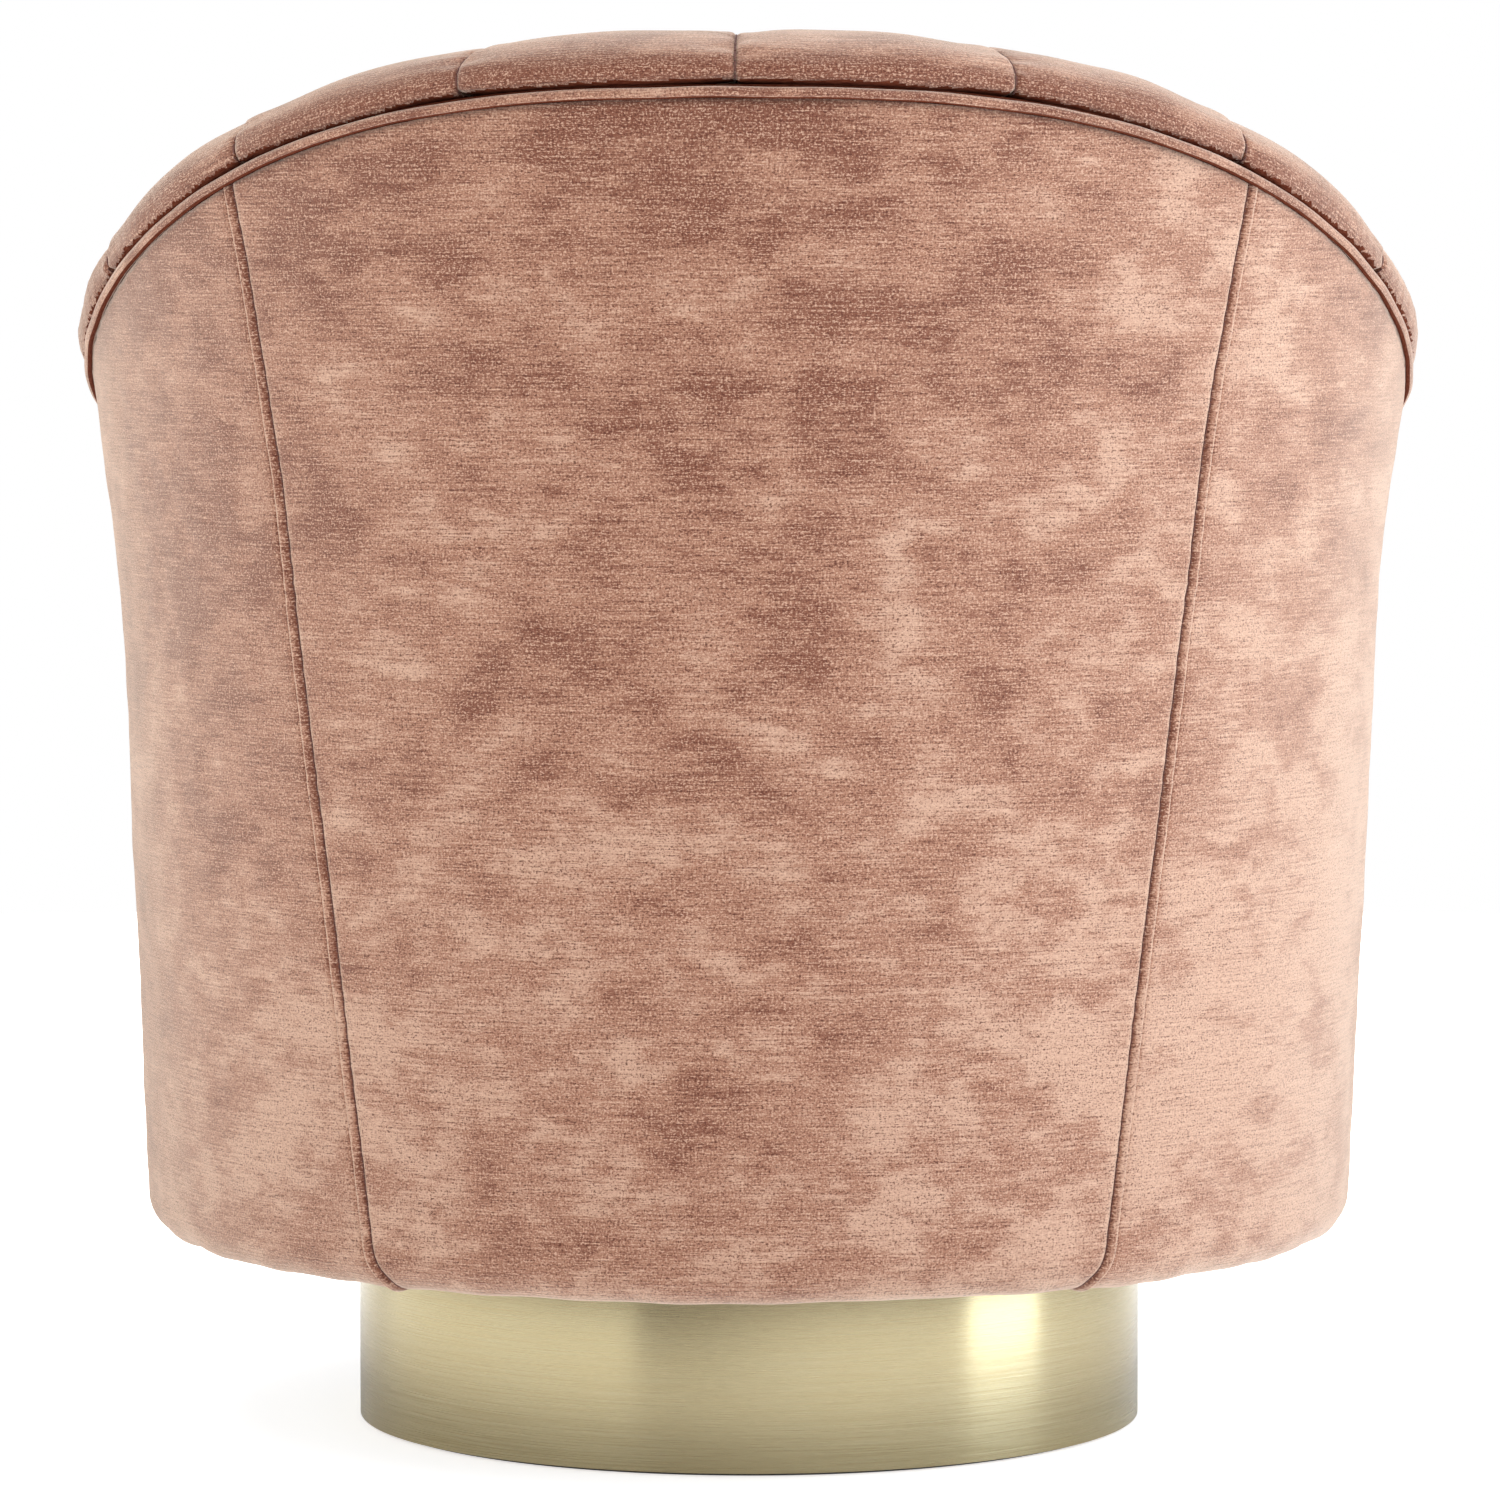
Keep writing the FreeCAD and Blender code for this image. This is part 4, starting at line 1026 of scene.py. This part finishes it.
def pad_blank(name, start, end, back, low, edge_round, crown):
    """Closed starting form of a pad: full in the middle, drawn in towards its two seams."""
    half_width = math.radians(end - start) / 2 * HEM_RADIUS
    near = np.array([0, 0.12, 0.3, 0.55, 0.8, 1.0]) * edge_round
    far = np.linspace(edge_round, half_width, 6)[1:]
    distances = np.concatenate([near, far, far[-2::-1], near[::-1]])
    sides = np.concatenate([-np.ones(len(near) + len(far)), np.ones(len(near) + len(far) - 1)])
    columns = []
    for distance, side in zip(distances, sides):
        angle = (start + end) / 2 + side * (end - start) / 2 * (1 - distance / half_width)
        section, crowns, rounds = pad_section(angle, back, low)
        reach = max(0.0, edge_round - distance)
        edge = edge_round - math.sqrt(edge_round ** 2 - reach ** 2)
        amount = 0.0004 + edge * rounds + crown * crowns * (1 - distance / half_width) ** 2
        outline = inset(section, amount)
        columns.append(place(angle, outline[:, 0], outline[:, 1]))
    points = np.array(columns)
    return turn_out(new_piece(name, points, capped(*points.shape[:2])))


def remesh(piece, voxel):
    modifier = piece.modifiers.new("remesh", "REMESH")
    modifier.mode = "VOXEL"
    modifier.voxel_size = voxel
    modifier.use_smooth_shade = True
    return settle(piece)


def puff(pads, pressure=4.0, frames=20):
    """Blow up closed cloth forms together. pads are (piece, cap, pinned points or None)."""
    starts = [points_of(piece) for piece, _, _ in pads]
    for piece, _, pinned in pads:
        cloth = piece.modifiers.new("stuffing", "CLOTH")
        cloth.settings.quality = 4
        cloth.settings.mass = 0.3
        cloth.settings.tension_stiffness = 12
        cloth.settings.compression_stiffness = 12
        cloth.settings.shear_stiffness = 5
        cloth.settings.bending_stiffness = 0.4
        cloth.settings.use_pressure = True
        cloth.settings.uniform_pressure_force = pressure
        cloth.settings.effector_weights.gravity = 0
        cloth.collision_settings.use_collision = False
        cloth.point_cache.frame_start = 1
        cloth.point_cache.frame_end = frames
        if pinned is not None:
            group = piece.vertex_groups.new(name="sewn")
            group.add([int(index) for index in np.nonzero(pinned)[0]], 1.0, "REPLACE")
            cloth.settings.vertex_group_mass = "sewn"
    scene = bpy.context.scene
    scene.frame_start, scene.frame_end = 1, frames
    for step in range(1, frames + 1):
        scene.frame_set(step)
    graph = bpy.context.evaluated_depsgraph_get()
    grown = [points_of(piece.evaluated_get(graph)) for piece, _, _ in pads]
    for (piece, cap, _), start, end in zip(pads, starts, grown):
        piece.modifiers.clear()
        piece.vertex_groups.clear()
        moved = end - start
        length = np.linalg.norm(moved, axis=1, keepdims=True)
        move_points(piece, start + moved * np.minimum(1, cap / np.maximum(length, 1e-9)))
    scene.frame_set(1)


def subdivide(piece):
    modifier = piece.modifiers.new("fine", "SUBSURF")
    modifier.levels = 1
    modifier.render_levels = 1
    return settle(piece)


def keep_in_bay(points, start, end, back, low):
    """Hold a pad inside its own bay: between its seams, off the liner and above the rail and the welt."""
    angle, radius, height = unwrap(points)
    angle = np.clip(angle, start, end)
    base = rim(angle) + ROLL_LOW
    edge = shell_radius(angle, np.minimum(height, base))
    outer = np.where(height < base, edge - back, edge + ROLL_OVERHANG + 0.002 + 0.7 * swell(angle))
    # a point that hangs over the rail and below the roll's underside goes to whichever is nearer
    over = (height < base) & (radius > edge - back)
    lifted = over & (base - height < radius - (edge - back)) & (radius <= edge + 0.01)
    height = np.where(lifted, base, height)
    radius = np.where(lifted, radius, np.minimum(radius, outer))
    return place(angle, radius, np.maximum(height, low))


def press_sides(points, start, end):
    """Push the sides of a pad against its seams, most on the roll."""
    angle, radius, height = unwrap(points)
    middle = (start + end) / 2
    gap = np.radians(np.minimum(angle - start, end - angle)) * radius
    over = smooth(height, rim(angle) - 0.01, rim(angle) + 0.01)
    push = (0.0008 + 0.0012 * over) * (1 - smooth(gap, 0.004, 0.020))
    return place(angle + np.degrees(push / radius) * np.sign(angle - middle), radius, height)


def pad_cloth(points, shift):
    """Cloth map of a pad: along the shell, and over the roll from the welt down the inside."""
    angle, radius, height = unwrap(points)
    base = rim(angle) + ROLL_LOW + ROLL_BELLY
    middle = shell_radius(angle, base) + ROLL_OVERHANG - ROLL_HALF
    turn = np.arctan2(np.maximum(height - base, 0) * ROLL_HALF / (ROLL_RISE - ROLL_BELLY), radius - middle)
    arch = math.pi * (ROLL_HALF + ROLL_RISE - ROLL_BELLY) / 2
    hanging = np.where(radius > middle, height - base, arch + base - height)
    over = np.where(height > base, turn / math.pi * arch, hanging)
    return np.stack([np.radians(angle) * HEM_RADIUS + shift, over + 1.3 + 0.37 * shift], axis=1)


# Hooked mark in the pile of the left roll, beside the elbow
CRUSH_MARK = [(-74.0, 0.646), (-77.0, 0.652), (-79.5, 0.646), (-78.0, 0.636), (-79.5, 0.628), (-82.5, 0.618)]


def crush_marks(angle, radius, height):
    """How deep the pile is pressed over along the crush mark."""
    here = np.stack([np.radians(angle) * 0.37, height], axis=1)
    nearest = np.full(len(here), 1.0)
    for start, end in zip(CRUSH_MARK, CRUSH_MARK[1:]):
        first = np.array([math.radians(start[0]) * 0.37, start[1]])
        run = np.array([math.radians(end[0]) * 0.37, end[1]]) - first
        share = np.clip((here - first) @ run / (run @ run), 0, 1)
        nearest = np.minimum(nearest, np.linalg.norm(here - first - share[:, None] * run, axis=1))
    return 2.0 * (1 - smooth(nearest, 0.0015, 0.0050)) * (radius > 0.34)


def dress_pad(piece, start, end, back, low, seed):
    """Fine mesh, puckers beside the seams, the cloth map, the crush mark, and painted shade and painted
    highlights given through the nap attribute and the darker velvet copy.
    """
    subdivide(piece)
    points = keep_in_bay(press_sides(points_of(piece), start, end), start, end, back, low)
    move_points(piece, points)
    angle, radius, height = unwrap(points)
    cloth = pad_cloth(points, seed * 0.173)
    along = cloth[:, 1]
    gap = np.minimum(angle - start, end - angle)
    distance = np.radians(np.maximum(gap, 0)) * radius
    lift = 0.0005 * unevenness(cloth[:, 0], along, 0.06, seed) * smooth(distance, 0.002, 0.02)
    lift += 0.0008 * np.exp(-distance / 0.011) * smooth(distance, 0.0, 0.003) * ripple(along, 0.016, seed + 1)
    lift += 0.0004 * np.exp(-distance / 0.03) * smooth(distance, 0.002, 0.01) * ripple(along, 0.034, seed + 2)
    free = np.where(height < rim(angle) + ROLL_LOW, radius < shell_radius(angle, height) - back - 0.01, True)
    points = keep_in_bay(points + normals_of(piece) * (lift * free)[:, None], start, end, back, low)
    move_points(piece, points)
    marks = crush_marks(angle, radius, height)
    lay_cloth(piece, cloth, np.stack([radius + 2.2, height], axis=1), facing_round(piece))
    turned = normals_of(piece)[:, 2]
    over = height - rim(angle) - ROLL_LOW
    outside = smooth(radius, shell_radius(angle, rim(angle)) - 0.06, shell_radius(angle, rim(angle)) - 0.02)
    # Faces turned down at the roll's base, just above the welt, take the darker velvet copy: painted shade.
    middles, facing = faces_of(piece)
    face_angle, face_radius, face_height = unwrap(middles)
    paint_joint_shade(piece, (facing[:, 2] < -0.72) & (face_height < rim(face_angle) + ROLL_LOW + 0.0035)
                & (face_radius > shell_radius(face_angle, rim(face_angle)) - 0.02))
    # Nap: painted shade on the lower outside of the roll, a painted highlight on upward faces inside, the
    # crush mark, and the painted paler side towards softbox_right.
    lay_nap_and_painted_light(piece, outside * (1 - smooth(over, 0.002, 0.026)) * (1 - smooth(turned, 0.2, 0.95))
            - 0.25 * (1 - outside) * smooth(turned, 0.5, 1.0) + marks
            + 1.4 * painted_pale_side(angle) * outside)
    piece.data.polygons.foreach_set("use_smooth", [True] * len(piece.data.polygons))


def mirrored(piece, name):
    """The same pad for the other side, turned right way out."""
    mesh = piece.data.copy()
    twin = bpy.data.objects.new(name, mesh)
    bpy.context.scene.collection.objects.link(twin)
    move_points(twin, points_of(piece) * (-1, 1, 1))
    mesh.flip_normals()
    return twin


CHANNEL_PITCH = ARM_END / CHANNELS_A_SIDE
CHANNEL_GAP = 0.015         # degrees kept free at each side of a bay
CHANNEL_CROWN = 0.010       # how far a channel draws in from its middle before it is stuffed
ARM_EDGE_ROUND = 0.006
ARM_VOXEL = 0.0035
SEAM_DEPTH = 0.0042         # how deep the thread lies between two pads
CHANNEL_CAP = 0.006         # the furthest that stuffing may push a point
ARM_CAP = 0.003
CUSHION_CAP = 0.022


def channel_bays():
    """First and last angle of each channel on the right, inside its seams."""
    return [(index * CHANNEL_PITCH + CHANNEL_GAP, (index + 1) * CHANNEL_PITCH - CHANNEL_GAP)
            for index in range(CHANNELS_A_SIDE)]


def blank_pads():
    """The six right-hand channels and the right arm front, before they are stuffed."""
    def sewn_sides(piece, start, end, reach):
        angle, radius, _ = unwrap(points_of(piece))
        return np.radians(np.minimum(angle - start, end - angle)) * radius < reach
    pads = []
    for index, (start, end) in enumerate(channel_bays()):
        piece = pad_blank(f"channel_pad_right_{index + 1}", start, end, CHANNEL_BACK, CHANNEL_LOW,
                          EDGE_ROUND, CHANNEL_CROWN)
        remesh(piece, VOXEL)
        pads.append((piece, CHANNEL_CAP, sewn_sides(piece, start, end, 0.004)))
    arm = pad_blank("arm_pad_right", ARM_END + CHANNEL_GAP, PAD_END, PAD_BACK, PAD_LOW, ARM_EDGE_ROUND, 0.0)
    remesh(arm, ARM_VOXEL)
    pads.append((arm, ARM_CAP, sewn_sides(arm, ARM_END + CHANNEL_GAP, PAD_END + 1, 0.002)))
    return pads


def finish_pads(pads):
    bays = [(start, end, CHANNEL_BACK, CHANNEL_LOW) for start, end in channel_bays()]
    bays.append((ARM_END + CHANNEL_GAP, PAD_END, PAD_BACK, PAD_LOW))
    nodes = [f"channel_{{}}_{index + 1}" for index in range(CHANNELS_A_SIDE)] + ["arm_front_{}"]
    for index, ((right, _, _), (start, end, back, low), node) in enumerate(zip(pads, bays, nodes)):
        left = mirrored(right, right.name.replace("right", "left"))
        for piece, side, sign in ((right, "right", 1), (left, "left", -1)):
            low_angle, high_angle = sorted((sign * start, sign * end))
            dress_pad(piece, low_angle, high_angle, back, low, 100 + 10 * index + 5 * (sign > 0))
            fit(piece, "seat", "velvet", node.format(side))


def channel_seams():
    """Thread that closes the joint between neighbouring pads, over the roll and a little way down inside."""
    paths, outs = [], []
    for index in range(-CHANNELS_A_SIDE, CHANNELS_A_SIDE + 1):
        angle = index * CHANNEL_PITCH + 0.0001
        section, _, _ = pad_section(angle, CHANNEL_BACK, CHANNEL_LOW)
        sewn = section[1:40]
        deep = inset(section, np.full(len(section), SEAM_DEPTH))[1:40]
        paths.append(place(angle, deep[:, 0], deep[:, 1]))
        outs.append(place(angle, sewn[:, 0], sewn[:, 1]) - paths[-1])
    out = np.concatenate(outs)
    out /= np.linalg.norm(out, axis=1, keepdims=True)
    seams = follow("channel_stitches", STITCHES, paths,
                   {"Pitch": 0.0062, "Length": 0.0050, "Thread": 0.00045, "Rise": 0.0009}, THREAD, out=out)
    fit(seams, "seat", "velvet", material=THREAD)


# ---- Seat cushion ----
CUSHION_BACK_RADIUS = 0.2515
CUSHION_FRONT_RADIUS = 0.3535
CUSHION_HALF = 40.0         # half angle of the part between the arm fronts
CUSHION_STEP = 3.0          # angle over which the outline steps out
CUSHION_EDGE = 0.094        # height of the boxing
CUSHION_CORNER = 0.024
CUSHION_EASE = 4.5          # degrees before the step where the front corner begins
CUSHION_VOXEL = 0.006
PIPING_RADIUS = 0.003


def cushion_outline(count=360):
    """Plan of the cushion: round at the back, reaching forward between the arm fronts."""
    angles = np.linspace(0, 360, count, endpoint=False)
    from_front = np.abs(angles - 180)
    reach = 1 - smooth(from_front, CUSHION_HALF - CUSHION_STEP, CUSHION_HALF)
    bend = np.maximum(from_front - (CUSHION_HALF - CUSHION_STEP) + CUSHION_EASE, 0)
    corner = np.radians(bend) * CUSHION_FRONT_RADIUS
    ease = np.where(from_front < CUSHION_HALF, corner ** 2 / (2 * CUSHION_CORNER), 0)
    radius = CUSHION_BACK_RADIUS + (CUSHION_FRONT_RADIUS - CUSHION_BACK_RADIUS) * reach - ease * reach
    return angles, radius


def cushion_blank():
    angles, radius = cushion_outline()
    rows = []
    low = CUSHION_LOW + 0.001
    high = low + CUSHION_EDGE
    crown = CUSHION_TOP - high - 0.006
    for share in np.linspace(0.04, 0.96, 14):
        rows.append(place(angles, radius * share, low))
    for share in np.linspace(0, 1, 10):
        draw_in = 0.004 * math.sin(math.pi * share)
        rows.append(place(angles, radius - draw_in, low + (high - low) * share))
    for share in np.linspace(0.97, 0.04, 16):
        rows.append(place(angles, radius * share, high + crown * (1 - share ** 2.6)))
    return turn_out(new_piece("seat_cushion_pad", np.array(rows), capped(len(rows), len(angles))))


def cushion_edges():
    """The two piping lines, bottom and top."""
    angles, radius = cushion_outline(720)
    return [place(angles, radius + 0.0005, CUSHION_LOW + 0.001 + lift) for lift in (0.003, CUSHION_EDGE)]


def sewn_points(piece):
    """Points that lie on a piping line and stay where they are sewn."""
    points = points_of(piece)
    angle, radius, height = unwrap(points)
    angles, outline = cushion_outline()
    edge = np.interp(angle % 360, angles, outline, period=360)
    at_edge = np.abs(radius - edge) < 0.007
    bottom = height < CUSHION_LOW + 0.009
    top = np.abs(height - CUSHION_LOW - CUSHION_EDGE) < 0.006
    return at_edge & (bottom | top)


def finish_cushion(piece):
    subdivide(piece)
    points = points_of(piece)
    angle, radius, height = unwrap(points)
    angles, outline = cushion_outline()
    edge = np.interp(angle % 360, angles, outline, period=360)
    normals = normals_of(piece)
    to_edge = np.abs(edge - radius)
    plan = points[:, 0], points[:, 1]
    soft = 0.0013 * unevenness(*plan, 0.12, 31) + 0.0005 * unevenness(*plan, 0.03, 32)
    along = np.radians(angle % 360) * radius
    drawn = 0.0008 * np.exp(-to_edge / 0.018) * ripple(along, 0.018, 33)
    fixed = np.minimum(np.abs(height - CUSHION_LOW - CUSHION_EDGE), np.abs(height - CUSHION_LOW)) + to_edge
    points = points + normals * ((soft + drawn) * smooth(fixed, 0.004, 0.02))[:, None]
    points[:, 2] = np.clip(points[:, 2], CUSHION_LOW, CUSHION_TOP + 0.006)
    angle, radius, height = unwrap(points)
    room = np.interp(np.abs((angle % 360) - 180), [CUSHION_HALF, CUSHION_HALF + 1.0], [0.004, 0.0012])
    radius = np.minimum(radius, edge + np.maximum(room, 0))
    points = place(angle, radius, height)
    move_points(piece, points)
    top_cloth = np.stack([points[:, 0] + 5.0, points[:, 1]], axis=1)
    side_cloth = np.stack([along + 8.0, points[:, 2]], axis=1)
    lay_cloth(piece, top_cloth, side_cloth, np.abs(faces_of(piece)[1][:, 2]) < 0.6)
    piece.data.polygons.foreach_set("use_smooth", [True] * len(piece.data.polygons))
    fit(piece, "seat", "velvet", "seat_cushion")
    for name, path in zip(("cushion_piping_low", "cushion_piping_top"), cushion_edges()):
        fit(follow(name, PIPING, path, {"Radius": PIPING_RADIUS}, VELVET, closed=True), "seat", "velvet")


# ---- Under the cushion and under the chair ----
def disc(name, low, high, radius, edge, sag, seed, rings=40, count=160):
    """Round pad or cloth with soft edges and an uneven top."""
    turns = np.linspace(0, 360, count, endpoint=False)
    shares = np.linspace(0.02, 1, rings) ** 0.8
    rows = [(radius - edge) * share + 0 * turns for share in shares]
    lifts = []
    for row in rows:
        x, y = row * np.sin(np.radians(turns)), row * np.cos(np.radians(turns))
        lifts.append(high - sag * (1 - row / radius) + sag * 0.3 * unevenness(x, y, 0.09, seed))
    points = [place(turns, row, np.minimum(lift, high)) for row, lift in zip(rows, lifts)]
    for level, stops in ((high - edge, (60, 30, 0)), (low + edge, (0, -30, -60, -90))):
        for turn in np.radians(stops):
            points.append(place(turns, radius - edge + edge * math.cos(turn), level + edge * math.sin(turn)))
    for share in (0.6, 0.02):
        points.append(place(turns, (radius - edge) * share, low + 0 * turns))
    points = np.array(points)
    faces = grid_faces(len(points), count, close_columns=True)
    last = (len(points) - 1) * count
    faces += [tuple(range(count)), tuple(range(last, last + count))]
    return turn_out(new_piece(name, points, faces))


def make_deck():
    pad = disc("deck_foam_pad", FOAM_LOW, FOAM_TOP, DECK_RADIUS, 0.004, 0.0012, 61)
    fit(pad, "seat", "foam", "deck_foam")
    cloth = disc("deck_cloth_sheet", DECK_LOW, FOAM_LOW, DECK_RADIUS, 0.0004, 0.0002, 62)
    fit(cloth, "seat", "deck_cloth", "deck_cloth")


STAPLES = 72
STAPLE_IN = 0.009           # from the edge of the dust cover


def make_dust_cover():
    """Black cloth under the frame, drawn flat and stapled close to its edge."""
    hole = dust_hole()
    count, rings = 288, 18
    turns = np.linspace(0, 360, count, endpoint=False)
    rows = []
    for radius in np.linspace(hole, DUST_RADIUS, rings):
        share = (radius - hole) / (DUST_RADIUS - hole)
        pull = 0.0006 * np.cos(np.radians(turns) * STAPLES) * share ** 3
        slack = 0.0012 * math.sin(math.pi * share) * (1 + 0.6 * ripple(np.radians(turns) * radius, 0.09, 63))
        rows.append(place(turns, radius, DUST_LOW + 0.0008 - slack + pull))
    points = np.array(rows)
    piece = turn_out(new_piece("dust_cloth", points, grid_faces(rings, count, close_columns=True)))
    thicken(piece, 0.0006)
    fit(piece, "seat", "black_cambric", "dust_cover")
    ring = place(turns, DUST_RADIUS - STAPLE_IN, DUST_LOW - 0.0001 + 0 * turns)
    out = np.tile((0.0, 0.0, -1.0), (count, 1))
    pitch = math.tau * (DUST_RADIUS - STAPLE_IN) / STAPLES
    staples = follow("dust_cover_staples", STITCHES, ring,
                     {"Pitch": pitch, "Length": 0.010, "Thread": 0.0004, "Rise": 0.0009}, FINISHES["zinc"],
                     out=out, closed=True)
    fit(staples, "seat", "zinc", material=FINISHES["zinc"])


def dust_hole():
    """Inner radius of the dust cover, read off the frame's own piece."""
    mesh = frame["nodes"]["dust_cover"].data
    points = np.array([vertex.co for vertex in mesh.vertices])
    return float(np.hypot(points[:, 0], points[:, 1]).min())


BAND_WALL = 0.0012
BAND_EDGE = 0.0004


def make_drum():
    """Brushed band with broken edges, and the felt under the drum."""
    inner = DRUM_RADIUS - BAND_WALL
    corners = [(inner, DRUM_LOW), (DRUM_RADIUS, DRUM_LOW), (DRUM_RADIUS, DRUM_TOP), (inner, DRUM_TOP)]
    fit(revolve("drum_band", rounded(corners, BAND_EDGE)), "base", "brass_band", "base_brass_band")
    pad = disc("felt_foot", 0.0, FELT_TOP, FELT_RADIUS, 0.0009, 0.0002, 64)
    fit(pad, "base", "felt", "base_felt_pad")


# ---- Studio ----
CAMERA_DISTANCE = 4.0
CAMERA_HEIGHT = 0.655
CAMERA_YAW = 1.1
CAMERA_PITCH = 3.92
CAMERA_LENS = 168.5
CAMERA_ASIDE = -0.0005
ROOM_LIGHT = 0.16
WINDOW_LIGHT = 1.15
WINDOW_BEARING = -62
FLOOR_RADIUS = 3.2
FLOOR_GLOW = 0.12           # light that the floor gives the chair
FLOOR_WHITE = 0.62          # and gives off towards the camera


def make_camera():
    data = bpy.data.cameras.new("camera")
    data.lens = CAMERA_LENS
    data.sensor_width = 36
    camera = bpy.data.objects.new("camera", data)
    bpy.context.scene.collection.objects.link(camera)
    yaw = math.radians(CAMERA_YAW)
    camera.location = (-CAMERA_DISTANCE * math.sin(yaw) + CAMERA_ASIDE, CAMERA_DISTANCE * math.cos(yaw),
                       CAMERA_HEIGHT)
    camera.rotation_euler = (math.radians(90 - CAMERA_PITCH), 0, math.radians(180) + yaw)
    bpy.context.scene.camera = camera


def softbox(name, bearing, distance, height, wide, tall, power, tint=(1.0, 1.0, 1.0)):
    """Flat lamp on a bearing from the chair, facing its middle."""
    data = bpy.data.lights.new(name, "AREA")
    data.shape = "RECTANGLE"
    data.size = wide
    data.size_y = tall
    data.energy = power
    data.color = tint
    lamp = bpy.data.objects.new(name, data)
    bpy.context.scene.collection.objects.link(lamp)
    lamp.location = tuple(place(bearing, distance, height))
    facing = lamp.location.copy()
    facing.z -= 0.4
    lamp.rotation_euler = facing.to_track_quat("Z", "Y").to_euler()


def make_studio():
    """White sweep that stays bright away from the chair, a bright room and four soft lamps."""
    turns = np.linspace(0, 360, 96, endpoint=False)
    floor = new_piece("studio_floor", place(turns, FLOOR_RADIUS, 0 * turns),
                      [tuple(range(len(turns) - 1, -1, -1))])
    made = Finish("pale_floor", colour(250, 250, 250), 0.9, Specular_IOR_Level=0.1,
                  Emission_Color=(1, 1, 1, 1))
    solid = made.solid()
    tint = made.noise(solid, 3.0, 2.0)
    made.set("Base Color", made.mix(tint, colour(250, 250, 250), colour(246, 246, 246)))
    away = made.node("ShaderNodeVectorMath", "Value", {0: solid}, operation="LENGTH")
    looked_at = made.node("ShaderNodeLightPath", "Is Camera Ray", {})
    near = made.level(looked_at, 0.0, 1.0, FLOOR_GLOW, FLOOR_WHITE)
    far = made.level(away, 0.4, 1.4)
    made.set("Emission Strength", made.sum((near, 1.0), (far, 1.0 - FLOOR_GLOW)))
    floor.data.materials.append(made.material)
    world = bpy.data.worlds.new("studio")
    bpy.context.scene.world = world
    world.use_nodes = True
    nodes, links = world.node_tree.nodes, world.node_tree.links
    room = nodes["Background"]
    room.inputs["Color"].default_value = (0.97, 1.0, 1.05, 1)
    bearing = nodes.new("ShaderNodeVectorMath")
    bearing.operation = "DOT_PRODUCT"
    bearing.inputs[1].default_value = tuple(place(WINDOW_BEARING, 1.0, 0.1))
    links.new(nodes.new("ShaderNodeTexCoord").outputs["Generated"], bearing.inputs[0])
    window = nodes.new("ShaderNodeMapRange")
    window.interpolation_type = "SMOOTHSTEP"
    for socket, value in (("From Min", 0.1), ("From Max", 1.0), ("To Min", ROOM_LIGHT),
                          ("To Max", ROOM_LIGHT + WINDOW_LIGHT)):
        window.inputs[socket].default_value = value
    links.new(bearing.outputs["Value"], window.inputs["Value"])
    links.new(window.outputs["Result"], room.inputs["Strength"])
    backdrop = nodes.new("ShaderNodeBackground")
    backdrop.inputs["Color"].default_value = (1, 1, 1, 1)
    backdrop.inputs["Strength"].default_value = 1.0
    seen = nodes.new("ShaderNodeLightPath")
    either = nodes.new("ShaderNodeMixShader")
    links.new(seen.outputs["Is Camera Ray"], either.inputs[0])
    links.new(room.outputs[0], either.inputs[1])
    links.new(backdrop.outputs[0], either.inputs[2])
    links.new(either.outputs[0], nodes["World Output"].inputs["Surface"])
    softbox("softbox_left", 79, 2.2, 1.1, 5.4, 2.4, 48, (0.96, 1.0, 1.02))
    softbox("softbox_right", -78, 2.4, 1.1, 1.2, 2.4, 38, (0.86, 1.0, 1.14))
    softbox("softbox_front", 180, 2.8, 1.6, 2.2, 1.6, 12)
    softbox("softbox_top", 0, 0.6, 3.0, 3.0, 3.0, 56)
    bpy.context.scene.view_settings.view_transform = "Standard"


finish_frame()
make_studio()
make_camera()
make_drum()
cover_back()
cover_side("cover_right", "outer_panel_right", 1, 21)
cover_side("cover_left", "outer_panel_left", -1, 41)
cover_front()
make_welt()
make_flange()
make_deck()
make_dust_cover()
pads = blank_pads()
cushion = remesh(cushion_blank(), CUSHION_VOXEL)
puff(pads + [(cushion, CUSHION_CAP, sewn_points(cushion))])
finish_pads(pads)
channel_seams()
finish_cushion(cushion)
